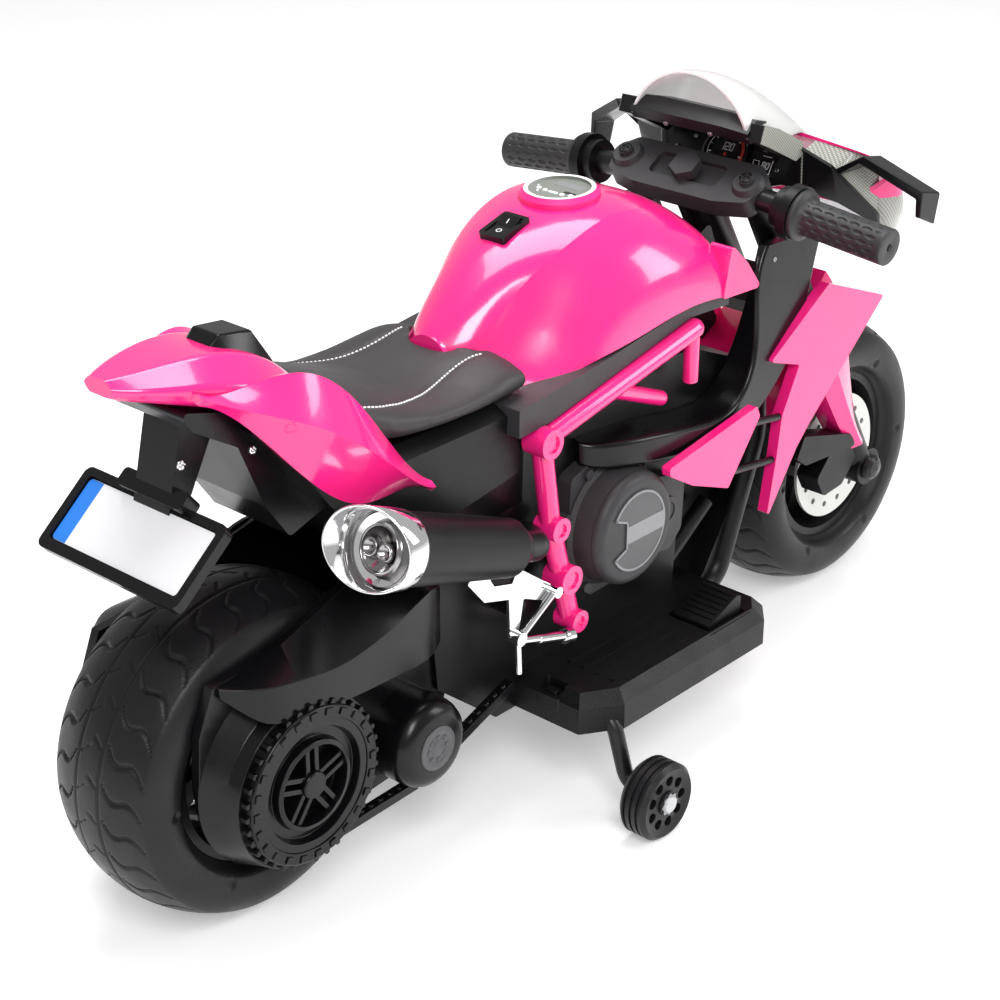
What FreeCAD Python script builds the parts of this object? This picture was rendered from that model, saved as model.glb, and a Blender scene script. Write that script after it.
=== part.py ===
import FreeCAD, Part
import math
import os

V = FreeCAD.Vector

os.makedirs("parts", exist_ok=True)

# Driving dimensions in mm: X forward, Y to the rider's left, Z up, floor at Z = 0
WHEELBASE = 780.0
WHEEL_R = 140.0
TYRE_HALF = 58.5
BEAD_R = 86.0
TYRE_WALL = 7.0
AXLE_R = 6.0
RUN_FIT = 0.05
RAKE = 31.0
FORK_Y = 78.0
FORK_TOP_Y = 68.0
STEM_R = 14.0
CLAMP_LOW = 372.0
CLAMP_HIGH = 391.0
GRIP_END_Y = 214.0
BAR_R = 11.0
STAB_X = -98.0
STAB_R = 34.7
STAB_IN = 195.0
STAB_OUT = 223.0
SKIN = 3.5

X_REAR = -WHEELBASE / 2
X_FRONT = WHEELBASE / 2
UP_AXIS = V(-math.sin(math.radians(RAKE)), 0, math.cos(math.radians(RAKE)))
FWD_AXIS = V(math.cos(math.radians(RAKE)), 0, math.sin(math.radians(RAKE)))
FRONT_HUB = V(X_FRONT, 0, WHEEL_R)


def save(name, shape):
    shape.exportStep("parts/%s.step" % name)


def other(shape):
    """The mirrored piece on the left-hand side."""
    return shape.mirror(V(0, 0, 0), V(0, 1, 0))


def steer(t, v, y):
    """Point t up the steering axis from the front hub, v ahead of it, y across."""
    return FRONT_HUB + UP_AXIS * t + FWD_AXIS * v + V(0, y, 0)


def corner(before, here, after, radius):
    """Arc that rounds the corner at here, as (start, middle, end)."""
    a = before - here
    b = after - here
    half = a.getAngle(b) / 2
    cut = min(radius / math.tan(half), 0.45 * a.Length, 0.45 * b.Length)
    a.normalize()
    b.normalize()
    bulge = cut * math.tan(half)
    middle = (a + b).normalize() * (bulge / math.sin(half) - bulge)
    return here + a * cut, here + middle, here + b * cut


def rounded(points, radius):
    """Closed wire through points with each corner rounded."""
    arcs = []
    for i, here in enumerate(points):
        arcs.append(corner(points[i - 1], here, points[(i + 1) % len(points)], radius))
    edges = []
    for i, (start, middle, end) in enumerate(arcs):
        edges.append(Part.Arc(start, middle, end).toShape())
        edges.append(Part.makeLine(end, arcs[(i + 1) % len(arcs)][0]))
    return Part.Wire(edges)


def closed(points):
    return Part.makePolygon(list(points) + [points[0]])


def outline(points, radius):
    return rounded(points, radius) if radius else closed(points)


def side_slab(points, y0, y1, radius=0):
    """Side-view outline of (x, z) pairs, pushed from y0 to y1."""
    face = Part.Face(outline([V(x, y0, z) for x, z in points], radius))
    return face.extrude(V(0, y1 - y0, 0))


def plan_slab(points, z0, z1, radius=0):
    """Plan outline of (x, y) pairs, pushed from z0 to z1."""
    face = Part.Face(outline([V(x, y, z0) for x, y in points], radius))
    return face.extrude(V(0, 0, z1 - z0))


def steer_slab(points, t0, t1, radius=0):
    """Outline of (v, y) pairs square to the steering axis, pushed from t0 to t1."""
    face = Part.Face(outline([steer(t0, v, y) for v, y in points], radius))
    return face.extrude(UP_AXIS * (t1 - t0))


def fork_slab(points, y0, y1, radius=0):
    """Outline of (t, v) pairs in the fork's side view, pushed from y0 to y1."""
    face = Part.Face(outline([steer(t, v, y0) for t, v in points], radius))
    return face.extrude(V(0, y1 - y0, 0))


def rod(a, b, radius):
    return Part.makeCylinder(radius, (b - a).Length, a, b - a)


def cross_rod(x, z, y0, y1, radius):
    return rod(V(x, y0, z), V(x, y1, z), radius)


def turned(profile, x, z, y_sign=1, angle=360, start=0):
    """Profile of (r, y) turned about a cross axis; a row of four is an arc (via, end)."""
    def spot(r, y):
        return V(x + r, y_sign * y, z)
    edges = []
    last = spot(*profile[0])
    first = last
    for row in profile[1:]:
        end = spot(*row[-2:])
        if len(row) == 4:
            edges.append(Part.Arc(last, spot(*row[:2]), end).toShape())
        else:
            edges.append(Part.makeLine(last, end))
        last = end
    edges.append(Part.makeLine(last, first))
    face = Part.Face(Part.Wire(edges))
    face.rotate(V(x, 0, z), V(0, -1, 0), start)
    return face.revolve(V(x, 0, z), V(0, -1, 0), angle)


def bent(points, radius, bend):
    """Round tube along points with rounded bends."""
    edges = []
    last = points[0]
    for i in range(1, len(points) - 1):
        start, middle, end = corner(points[i - 1], points[i], points[i + 1], bend)
        edges.append(Part.makeLine(last, start))
        edges.append(Part.Arc(start, middle, end).toShape())
        last = end
    edges.append(Part.makeLine(last, points[-1]))
    path = Part.Wire(edges)
    ring = Part.Wire(Part.makeCircle(radius, points[0], points[1] - points[0]))
    return path.makePipeShell([ring], True, False)


def loft(wires, ruled=False):
    return Part.makeLoft(wires, True, ruled)


def spread(count, shape, centre, axis):
    """Copies of shape evenly round an axis."""
    copies = []
    for i in range(count):
        copy = shape.copy()
        copy.rotate(centre, axis, 360.0 * i / count)
        copies.append(copy)
    return copies


def fuse(shapes):
    return shapes[0].multiFuse(shapes[1:]).removeSplitter()


# Wheels
def tyre(x):
    ring = turned([(BEAD_R, -44), (91, -50), (96, -57), (112, -TYRE_HALF, 127, -51),
                   (WHEEL_R, 0, 127, 51), (112, TYRE_HALF, 96, 57), (91, 50), (BEAD_R, 44),
                   (BEAD_R, 36), (100, 46), (112, 52, 122, 45), (WHEEL_R - TYRE_WALL, 0, 122, -45),
                   (112, -52, 100, -46), (BEAD_R, -36)], x, WHEEL_R)
    cuts = []
    for y in (-13.0, 13.0):
        cuts.append(turned([(137, y - 1.6), (142, y - 1.6), (142, y + 1.6), (137, y + 1.6)], x, WHEEL_R))
    for sign in (-1, 1):
        pocket = cross_rod(x + 99, WHEEL_R, sign * 44, sign * 60, 4.0)
        cuts += spread(6, pocket, V(x, 0, WHEEL_R), V(0, 1, 0))
    return ring.cut(Part.makeCompound(cuts))


def rim(x):
    barrel = turned([(79, -44), (BEAD_R, -44), (BEAD_R, 44), (79, 44), (74, 34), (74, -34)], x, WHEEL_R)
    web = turned([(20, -9), (75, -6), (75, 6), (20, 9)], x, WHEEL_R)
    hub = turned([(AXLE_R + RUN_FIT, -56), (17, -56), (24, -44), (24, 44), (17, 56),
                  (AXLE_R + RUN_FIT, 56)], x, WHEEL_R)
    bore = cross_rod(x, WHEEL_R, -60, 60, AXLE_R + RUN_FIT)
    window = side_slab([(x + 34, WHEEL_R - 12), (x + 68, WHEEL_R - 24), (x + 68, WHEEL_R + 24),
                        (x + 34, WHEEL_R + 12)], -20, 20, 7)
    windows = spread(6, window, V(x, 0, WHEEL_R), V(0, 1, 0))
    return fuse([barrel, web.cut(Part.makeCompound(windows)), hub]).cut(bore)


for end, x in (("front", X_FRONT), ("rear", X_REAR)):
    save(end + "_tyre", tyre(x))
    save(end + "_rim", rim(x))

disc = turned([(24, 46), (65, 46), (65, 49), (24, 49)], X_FRONT, WHEEL_R)
drill = cross_rod(X_FRONT + 52, WHEEL_R, 40, 55, 3.2)
slot = cross_rod(X_FRONT + 38, WHEEL_R, 40, 55, 4.5)
holes = spread(14, drill, FRONT_HUB, V(0, 1, 0)) + spread(7, slot, FRONT_HUB, V(0, 1, 0))
disc = disc.cut(Part.makeCompound(holes))
save("brake_discs", Part.makeCompound([disc, other(disc)]))

# Steering: fork legs with caliper and duct, mudguard, clamp, bars
def fork():
    leg = rod(steer(-2, 0, -FORK_Y), steer(178, 0, -FORK_Y), 14)
    foot = cross_rod(X_FRONT, WHEEL_R, -90, -63, 19)
    knee = fork_slab([(152, -15), (152, 15), (190, 13), (190, -13)], -91, -56, 6)
    tube = rod(steer(160, 0, -FORK_TOP_Y), steer(CLAMP_LOW, 0, -FORK_TOP_Y), 11)
    caliper = fork_slab([(26, -10), (60, -10), (66, -38), (58, -68), (32, -68), (18, -40)], -88, -63, 6)
    duct = fork_slab([(44, -8), (62, -8), (124, -66), (112, -86), (94, -78)], -92, -70, 3)
    mouth = fork_slab([(98, -92), (122, -92), (118, -66), (98, -70)], -88, -74, 2)
    axle_hole = cross_rod(X_FRONT, WHEEL_R, -95, -60, AXLE_R)
    return fuse([leg, foot, knee, tube, caliper, duct]).cut(mouth).cut(axle_hole)


cap = turned([(0, 92.2), (13, 92.2), (12, 96), (9, 99), (0, 101)], X_FRONT, WHEEL_R)
pin = cross_rod(X_FRONT, WHEEL_R, -92.2, 92.2, AXLE_R)
save("front_axle", fuse([pin, cap, other(cap)]))
fork_right = fork()
fork_left = other(fork_right)
save("fork_right", fork_right)
save("fork_left", fork_left)


def guard_section(t, rear, ridge, front, inner, outer):
    return closed([steer(t, rear, -inner), steer(t, rear, -outer + 8), steer(t, ridge, -outer),
                   steer(t, front, -outer + 9), steer(t, front, -inner)])


guard = loft([guard_section(40, -12, -2, 12, 64, 95), guard_section(100, -19, -5, 15, 64, 97),
              guard_section(165, -22, -2, 34, 62, 97), guard_section(238, -24, 4, 44, 60, 88)])
arch = turned([(149, -66), (149, 66), (152, 64), (154, 0, 152, -64)], X_FRONT, WHEEL_R, 1, 62, 86)
mudguard = fuse([arch, guard, other(guard)])

plate_half = [(-27, 46), (-20, 78), (8, 86), (24, 70)]
plate = [(v, -y) for v, y in plate_half] + [(v, y) for v, y in reversed(plate_half)]
top_plate = steer_slab(plate, CLAMP_LOW, CLAMP_HIGH, 9)
low_plate = steer_slab([(-24, -84), (22, -84), (24, 84), (-24, 84)], 234, 252, 10)
stem = rod(steer(240, 0, 0), steer(CLAMP_LOW + 5, 0, 0), STEM_R)
nut = steer_slab([(15 * math.cos(math.radians(60 * i)), 15 * math.sin(math.radians(60 * i)))
                  for i in range(6)], CLAMP_HIGH - 1, CLAMP_HIGH + 9)
well = steer_slab([(-12, -38), (14, -38), (14, 38), (-12, 38)], CLAMP_HIGH - 5, CLAMP_HIGH + 5, 6)
caps = []
for sign in (-1, 1):
    base = steer(CLAMP_HIGH - 1, 0, sign * FORK_TOP_Y)
    caps.append(Part.makeCone(16, 13, 6, base, UP_AXIS))
    caps.append(Part.makeCylinder(7, 10, base, UP_AXIS))
bar_root = V(193, -70, 464)
bar_end = V(193, -GRIP_END_Y + 2, 450)
bar = rod(bar_root, bar_end, BAR_R)
clamp = fuse([top_plate.cut(well), low_plate, stem, nut] + caps)
clamp = clamp.cut(fork_right).cut(fork_left)
save("triple_clamp", clamp)
mudguard = mudguard.cut(fork_right).cut(fork_left).cut(clamp)
save("front_mudguard", max(mudguard.Solids, key=lambda solid: solid.Volume))
bars = [piece.cut(clamp).cut(fork_right).cut(fork_left) for piece in (bar, other(bar))]
save("handlebar", Part.makeCompound(bars))


def along_bar(y):
    return bar_root + (bar_end - bar_root) * ((y - bar_root.y) / (bar_end.y - bar_root.y))


grip_tip = V(193, -GRIP_END_Y, bar_end.z - 0.2)
sleeve = fuse([rod(along_bar(-124), grip_tip, 16.5), rod(along_bar(-122), along_bar(-127), 23)])
sleeve = sleeve.cut(bar)
save("grips", Part.makeCompound([sleeve, other(sleeve)]))
collar = fuse([rod(along_bar(-102), along_bar(-122), 20), rod(along_bar(-112), along_bar(-122), 25)])
save("throttle_collars", Part.makeCompound([collar.cut(bar), other(collar.cut(bar))]))

# Head tube and backbone
head_tube = rod(steer(262, 0, 0), steer(362, 0, 0), 20)
backbone = side_slab([(228, 372), (205, 425), (110, 372), (110, 330)], -16, 16, 6)
frame = fuse([head_tube, backbone]).cut(rod(steer(230, 0, 0), steer(380, 0, 0), STEM_R + RUN_FIT))
save("head_frame", frame)

# Tank cover
TANK = [(-154, 414, 12, 411, 22, 403, 40, 388), (-130, 437, 36, 406, 46, 391, 66, 377),
        (-108, 455, 40, 428, 52, 396, 77, 375), (-72, 476, 47, 459, 68, 416, 88, 381),
        (-40, 487, 53, 475, 80, 440, 95, 388), (11, 495, 56, 488, 92, 452, 101, 397),
        (60, 491, 57, 482, 97, 446, 104, 404), (100, 476, 57, 466, 97, 434, 104, 402),
        (130, 456, 54, 446, 92, 418, 103, 400)]


def tank_section(x, top, shoulder_y, shoulder_z, waist_y, waist_z, hem_y, hem_z, inset=0):
    def spot(y, z):
        return V(x, y, z)
    sy, sz = shoulder_y - inset, shoulder_z - inset
    wy, wz = waist_y - inset, waist_z
    hy, hz = hem_y - inset, hem_z - 12 * (inset > 0)
    crown = Part.BSplineCurve()
    crown.interpolate([spot(-sy, sz), spot(-0.55 * sy, top - inset - 0.22 * (top - shoulder_z)),
                       spot(0, top - inset), spot(0.55 * sy, top - inset - 0.22 * (top - shoulder_z)),
                       spot(sy, sz)])
    left = Part.BSplineCurve()
    left.interpolate([spot(sy, sz), spot(wy, wz), spot(hy, hz)])
    right = Part.BSplineCurve()
    right.interpolate([spot(-hy, hz), spot(-wy, wz), spot(-sy, sz)])
    return Part.Wire([crown.toShape(), left.toShape(), Part.makeLine(spot(hy, hz), spot(-hy, hz)),
                      right.toShape()])


scoop = side_slab([(108, 399), (164, 396), (142, 424), (118, 446)], -105, -82, 3)
tank_outer = fuse([loft([tank_section(*row) for row in TANK]), scoop, other(scoop)])
rows = [list(row) for row in TANK]
rows[0][0] += SKIN
rows[-1][0] -= SKIN
tank_inner = loft([tank_section(*row, inset=SKIN) for row in rows])
tank = tank_outer.cut(tank_inner)
PANEL = V(11, 0, 495)
panel_hole = Part.makeCylinder(35, 30, PANEL - V(0, 0, 20))
panel = fuse([Part.makeCylinder(34.9, 12, PANEL - V(0, 0, 10)),
              Part.makeCone(34.9, 31, 4, PANEL + V(0, 0, 2))])
panel = panel.cut(Part.makeCylinder(27, 10, PANEL + V(0, 0, 3.5)))
panel.rotate(PANEL, V(0, 1, 0), -3)
save("tank_panel", panel)
ROCKER = V(-58, 0, 479)
ROCKER_LEAN = -16.0
ROCKER_TILT = -9.0
bezel_block = plan_slab([(-76, -14), (-40, -14), (-40, 14), (-76, 14)], 470, 485, 3)
rocker_hole = plan_slab([(-72, -10), (-44, -10), (-44, 10), (-72, 10)], 460, 500, 1)
bezel = bezel_block.cut(rocker_hole)
for piece in (bezel, bezel_block):
    piece.rotate(ROCKER, V(0, 1, 0), ROCKER_LEAN)
tank = tank.cut(panel_hole).cut(panel).cut(bezel_block)
save("tank_cover", tank)
save("switch_bezel", bezel)
paddle = side_slab([(-70.2, 486), (-58, 483.5), (-45.8, 486), (-45.8, 478), (-58, 472), (-70.2, 478)],
                   -9.6, 9.6)
paddle.rotate(ROCKER, V(0, 1, 0), ROCKER_LEAN + ROCKER_TILT)
save("rocker_switch", paddle)


def clear(piece, *neighbours):
    """Piece with its neighbours' solids taken out, so that they only touch."""
    for neighbour in neighbours:
        if piece.BoundBox.intersect(neighbour.BoundBox):
            piece = piece.cut(neighbour)
    return piece


def both(name, piece):
    save(name + "_right", piece)
    save(name + "_left", other(piece))


# Body shell in two halves
HULL_Y = 74.0
HULL = [(-150, 82), (128, 82), (150, 96), (206, 182), (218, 240), (214, 300), (110, 345), (-60, 352),
        (-200, 345), (-232, 240), (-222, 140)]
hull = side_slab(HULL, -HULL_Y, 0, 5)
cowl_in = [(-112, 374), (-335, 374), (-362, 414), (-384, 414), (-332, 345), (-250, 262), (-112, 262)]
cowl_out = [(-126, 366), (-322, 366), (-338, 388), (-346, 390), (-316, 352), (-245, 296), (-136, 312)]
cowl = fuse([side_slab(cowl_in, -70, 0),
             loft([closed([V(x, -70, z) for x, z in cowl_in]),
                   closed([V(x, -85, z) for x, z in cowl_out])], True)])
down_tube = bent([V(206, -72, 318), V(214, -72, 230), V(160, -72, 94), V(112, -72, 94)], 11, 46)
brace = rod(V(152, -64, 178), V(84, -64, 132), 8)
bay = side_slab([(92, 108), (138, 106), (194, 190), (202, 286), (104, 296)], -90, -48, 8)
room = side_slab([(-140, 90), (84, 90), (84, 338), (-60, 345), (-190, 338), (-222, 240), (-212, 144)],
                 -HULL_Y + 5, 1, 4)
nose_room = side_slab([(94, 92), (140, 100), (198, 186), (208, 240), (205, 292), (104, 338)], -44, 1, 4)
tail_room = side_slab([(-130, 366), (-322, 366), (-258, 298), (-200, 304), (-130, 304)], -64, 1, 4)
peg_boss = cross_rod(-150, 196, -100.5, -70, 8)
shell = fuse([hull.cut(bay), cowl, down_tube, brace, peg_boss])
shell = shell.cut(room).cut(nose_room).cut(tail_room).cut(frame)
shell_left = other(shell)
save("body_shell_right", shell)
save("body_shell_left", shell_left)
save("battery", plan_slab([(-118, -44), (38, -44), (38, 44), (-118, 44)], 90.2, 186, 4))
save("control_box", plan_slab([(-70, -34), (24, -34), (24, 34), (-70, 34)], 262, 306, 4))

# Engine covers
DRUM = (-21.0, 229.0)
drum = turned([(0, HULL_Y), (58, HULL_Y), (58, 90), (54, 93), (51, 110), (49, 117, 42, 120), (0, 120)],
              *DRUM, -1)
case = side_slab([(-78, 196), (-44, 164), (46, 168), (70, 192), (74, 246), (52, 268), (-24, 298),
                  (-72, 284)], -88, -HULL_Y, 8)
fore = side_slab([(8, 262), (54, 250), (66, 238), (64, 196), (48, 180), (6, 186)], -103, -HULL_Y, 7)
lid = cross_rod(42, 219, -105, -HULL_Y, 14)
lid_well = cross_rod(42, 219, -110, -104, 9)
studs = spread(9, cross_rod(DRUM[0] + 62, DRUM[1], -92, -HULL_Y, 4.5), V(DRUM[0], 0, DRUM[1]), V(0, 1, 0))
engine = fuse([case, fore, lid, drum] + studs).cut(lid_well)
badge_ring = cross_rod(*DRUM, -121.2, -120, 37)
badge_notch = side_slab([(DRUM[0] - 40, DRUM[1] - 22), (DRUM[0] - 16, DRUM[1] - 12),
                         (DRUM[0] - 16, DRUM[1] + 12), (DRUM[0] - 40, DRUM[1] + 22)], -125, -119)
badge = badge_ring.cut(badge_notch)
engine = clear(engine, shell)
save("engine_covers", Part.makeCompound([engine, other(engine)]))
save("engine_badges", Part.makeCompound([badge, other(badge)]))

# Trellis tube
TRELLIS_Y = -97.0
joints = [(-122, 339, 13), (-109, 257, 11), (-94, 205, 13), (-82, 161, 10)]
spots = [V(x, TRELLIS_Y, z) for x, z, r in joints]
tubes = [rod(a, b, 9) for a, b in zip(spots, spots[1:])]
tubes.append(rod(spots[0], V(74, TRELLIS_Y - 3, 381), 9))
tubes.append(rod(V(-35, TRELLIS_Y - 1, 357), V(41, TRELLIS_Y + 6, 324), 7))
tubes.append(rod(V(72, TRELLIS_Y - 3, 380), V(80, TRELLIS_Y + 3, 330), 7))
tubes.append(Part.makeSphere(9, V(74, TRELLIS_Y - 3, 381)))
tubes.append(Part.makeSphere(7, V(41, TRELLIS_Y + 6, 324)))
for x, z, r in joints:
    boss = cross_rod(x, z, TRELLIS_Y - 13, TRELLIS_Y + 10, r)
    tubes.append(boss.cut(cross_rod(x, z, TRELLIS_Y - 14, TRELLIS_Y - 11, r - 5)))
trellis = clear(fuse(tubes), shell, engine)
both("trellis", trellis)

# Tank trim strips
trim = side_slab([(-150, 374), (-112, 377.5), (-58, 383.5), (11, 393.5), (72, 401.5), (126, 398),
                  (126, 388), (72, 391), (11, 378), (-58, 363.5), (-112, 352.5), (-150, 350)], -98, -64)
trim = clear(trim, shell, trellis, tank_outer)
save("tank_trims", Part.makeCompound([trim, other(trim)]))


# Tail
def beam_section(x, half, top, mid, low, inset=0, drop=0):
    """Eight-cornered rounded section of a cowl, flat-topped and drawn in below."""
    right = [V(x, 0.5 * (half - inset), top - inset), V(x, half - inset, mid),
             V(x, 0.86 * (half - inset), 0.4 * mid + 0.6 * low), V(x, 0.6 * (half - inset), low - drop)]
    left = [V(p.x, -p.y, p.z) for p in reversed(right)]
    return rounded(right + left, 0.18 * half)


def cowl_shell(rows, inset):
    """Moulded skin over the rows of (x, half width, top, middle, low), open below."""
    outer = loft([beam_section(*row) for row in rows])
    inner = []
    for i, (x, half, top, mid, low) in enumerate(rows):
        ends = inset * ((i == 0) - (i == len(rows) - 1))
        inner.append(beam_section(x + ends, half, top, mid, low, inset, 14))
    return outer, loft(inner)


TAIL = [(-488, 16, 479, 473, 466), (-462, 36, 481, 470, 456), (-425, 52, 482, 465, 442),
        (-385, 60, 476, 454, 424), (-334, 60, 444, 428, 404)]
tail_outer, tail_inner = cowl_shell(TAIL, SKIN)
tail = tail_outer.cut(tail_inner)
panel_rows = [(-440, 50, 466, 54, 463, 51, 457), (-390, 60, 463, 86, 441, 74, 412),
              (-340, 72, 455, 100, 413, 84, 360), (-296, 80, 408, 103, 376, 86, 345),
              (-246, 92, 345, 97, 341, 92, 336)]
panel_wires = []
for x, ty, tz, ry, rz, by, bz in panel_rows:
    panel_wires.append(closed([V(x, -ty, tz), V(x, -ry, rz), V(x, -by, bz),
                               V(x, -by + 12, bz + 3), V(x, -ty + 12, tz - 4)]))
tail_panel = clear(loft(panel_wires), shell, tail_outer)
both("tail_panel", tail_panel)
hump = side_slab([(-408, 472), (-401, 489), (-366, 488), (-324, 440), (-318, 424), (-360, 424)], -33, 33, 4)
hump = clear(hump, tail_outer)
save("tail_cowl", tail)
tray = side_slab([(-452, 452), (-340, 420), (-300, 380), (-300, 334), (-350, 318), (-374, 352),
                  (-398, 408), (-440, 434)], -42, 42, 5)
tray = clear(tray, shell, shell_left, tail)
save("tail_undertray", tray)

# Seat cushion
SEAT = [(-336, 50, 438, 424, 410), (-300, 72, 428, 408, 386), (-250, 83, 411, 394, 377),
        (-195, 86, 404, 390, 375), (-155, 85, 409, 391, 375), (-118, 82, 406, 392, 376)]


def seat_section(x, half, top, mid, low):
    curve = Part.BSplineCurve()
    curve.interpolate([V(x, -half + 7, low), V(x, -half, mid), V(x, -0.8 * half, top - 7), V(x, 0, top),
                       V(x, 0.8 * half, top - 7), V(x, half, mid), V(x, half - 7, low)])
    return Part.Wire([curve.toShape(), Part.makeLine(V(x, half - 7, low), V(x, -half + 7, low))])


cushion = loft([seat_section(*row) for row in SEAT])
sunk = cushion.copy()
sunk.translate(V(0, 0, -2.5))
skin = cushion.cut(sunk)
channels = []
for sign in (-1, 1):
    channels.append(plan_slab([(-330, sign * 30), (-330, sign * 33), (-128, sign * 58), (-128, sign * 55)],
                              380, 450))
for x in (-286, -238):
    channels.append(plan_slab([(x, -56), (x + 3, -56), (x + 3, 56), (x, 56)], 380, 450))
cushion = cushion.cut(skin.common(Part.makeCompound(channels)))
cushion = clear(cushion, tank_outer, shell, shell_left, tail_outer, hump, tail_panel, other(tail_panel),
                trim, other(trim), tray)
save("seat_cushion", cushion)
save("tail_bump", clear(hump, tray))

# Plate holder, bracket and blank plate
PLATE_TOP = V(-442, 0, 372)
PLATE_LOW = V(-497, 0, 326)
slope = (PLATE_LOW - PLATE_TOP).normalize()
face_out = V(slope.z, 0, -slope.x)


def plate_slab(u0, u1, half, n0, n1, radius):
    """Slab u0 to u1 down the plate's slope, n0 to n1 out of its face."""
    base = PLATE_TOP + face_out * n0
    pts = [base + slope * u0 + V(0, -half, 0), base + slope * u1 + V(0, -half, 0),
           base + slope * u1 + V(0, half, 0), base + slope * u0 + V(0, half, 0)]
    return Part.Face(rounded(pts, radius)).extrude(face_out * (n1 - n0))


tray_plate = plate_slab(0, 72, 79, -9, 0, 7).cut(plate_slab(7, 63, 72, -4, 3, 4))
save("plate_holder", tray_plate)
blank_plate = plate_slab(8, 62, 71, -4, -2.4, 4)
save("number_plate", blank_plate)
arm = side_slab([(-432, 434), (-404, 414), (-437, 352), (-452, 348)], -20, 20, 3)
lamp = plate_slab(-9, 6, 36, -8, 8, 4)
bracket = clear(fuse([arm, lamp]), tray, tail, tray_plate, blank_plate)
save("plate_bracket", bracket)

# Exhaust
CAN_LONG = 146.0
CAN_AXIS = V(-127, 0, 46).normalize()
can_front = V(-198, -128, 281)
can_end = can_front + CAN_AXIS * CAN_LONG
can = Part.makeCone(24, 30, CAN_LONG, can_front, CAN_AXIS)
neck = Part.makeCone(14, 24, 18, can_front - CAN_AXIS * 18, CAN_AXIS)
pipe = bent([can_front - CAN_AXIS * 10, V(-158, -122, 266), V(-120, -80, 246)], 13, 20)
hollow = Part.makeCylinder(24, 60, can_end - CAN_AXIS * 26, CAN_AXIS)
spout = Part.makeCylinder(12, 24, can_end - CAN_AXIS * 27, CAN_AXIS)
spout_bore = Part.makeCylinder(9, 24, can_end - CAN_AXIS * 20, CAN_AXIS)
exhaust = fuse([fuse([can, neck, pipe]).cut(hollow), spout]).cut(spout_bore)
exhaust = clear(exhaust, shell, engine, trellis)
tip_start = can_end - CAN_AXIS * 16
tip = Part.makeCone(30.6, 34, 44, tip_start, CAN_AXIS).cut(Part.makeCone(26.6, 31, 50, tip_start, CAN_AXIS))
slant = Part.makeBox(120, 120, 120, V(-60, -60, 0))
slant.rotate(V(0, 0, 0), V(0, 1, 0), -52)
slant.translate(can_end + CAN_AXIS * 13)
tip = clear(tip.cut(slant), exhaust)
save("exhaust_can", exhaust)
save("exhaust_tip", tip)

# Heel guards with linkage
heel = side_slab([(-219, 248), (-186, 253), (-160, 241), (-116, 208), (-110, 198), (-124, 196), (-150, 208),
                  (-156, 176), (-166, 176), (-168, 214), (-198, 223)], -104, -101, 2)
heel = heel.cut(side_slab([(-192, 242), (-160, 234), (-164, 227), (-186, 233)], -106, -99, 1))
links = [rod(V(-114, -107, 202), V(-160, -107, 174), 3.5), rod(V(-160, -107, 176), V(-158, -107, 142), 3),
         rod(V(-134, -107, 164), V(-96, -107, 152), 4.5), rod(V(-100, -107, 153), V(-92, -107, 151), 7),
         cross_rod(-114, 202, -112, -101, 5), cross_rod(-160, 176, -112, -101, 6),
         rod(V(-158, -106, 172), V(-132, -107, 164), 4)]
heel = clear(fuse([heel] + links), trellis, shell)
save("heel_guards", Part.makeCompound([heel, other(heel)]))

# Footboards, pedal and stabilisers
BOARD = [(-126, -HULL_Y), (-126, -146), (-92, -168), (108, -168), (130, -150), (130, -HULL_Y)]
BOARD_TOP = [(-118, -HULL_Y), (-118, -140), (-88, -158), (102, -158), (120, -144), (120, -HULL_Y)]
board = fuse([plan_slab(BOARD, 83, 107),
              loft([closed([V(x, y, 107) for x, y in BOARD]), closed([V(x, y, 118) for x, y in BOARD_TOP])],
                   True)])
under = plan_slab([(-120, -HULL_Y - 4), (-120, -143), (-90, -163), (106, -163), (125, -148),
                   (125, -HULL_Y - 4)], 80, 102)
ribs = [plan_slab([(-84, y), (-84, y - 5), (reach, y - 5), (reach, y)], 117, 119.4, 2)
        for y, reach in ((-96, 34), (-112, 30), (-128, 26), (-144, 22))]
notch = plan_slab([(-130, -100), (-112, -100), (-112, -124), (-130, -124)], 96, 120, 3)
board = clear(fuse([board.cut(under).cut(notch)] + ribs), shell)
pedal_bay = plan_slab([(41, -108), (95, -108), (95, -156), (41, -156)], 90, 125, 3)
pedal_tub = plan_slab([(37, -104), (99, -104), (99, -160), (37, -160)], 98, 117, 3).cut(
    plan_slab([(41, -108), (95, -108), (95, -156), (41, -156)], 101, 125, 3))
board_right = clear(fuse([board.cut(pedal_bay), pedal_tub]), shell)
save("footboard_right", board_right)
save("footboard_left", other(board))
pedal = side_slab([(46, 119.5), (86, 135), (92, 133), (92, 117), (62, 112.5), (46, 115.5)], -152, -112, 1.2)
tread = [side_slab([(x, 118), (x + 2, 118), (x + 2, 140), (x, 140)], -149, -115) for x in range(52, 84, 6)]
lowered = pedal.copy()
lowered.translate(V(0, 0, -1.2))
pedal = pedal.cut(pedal.cut(lowered).common(Part.makeCompound(tread)))
save("pedal", pedal)


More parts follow.
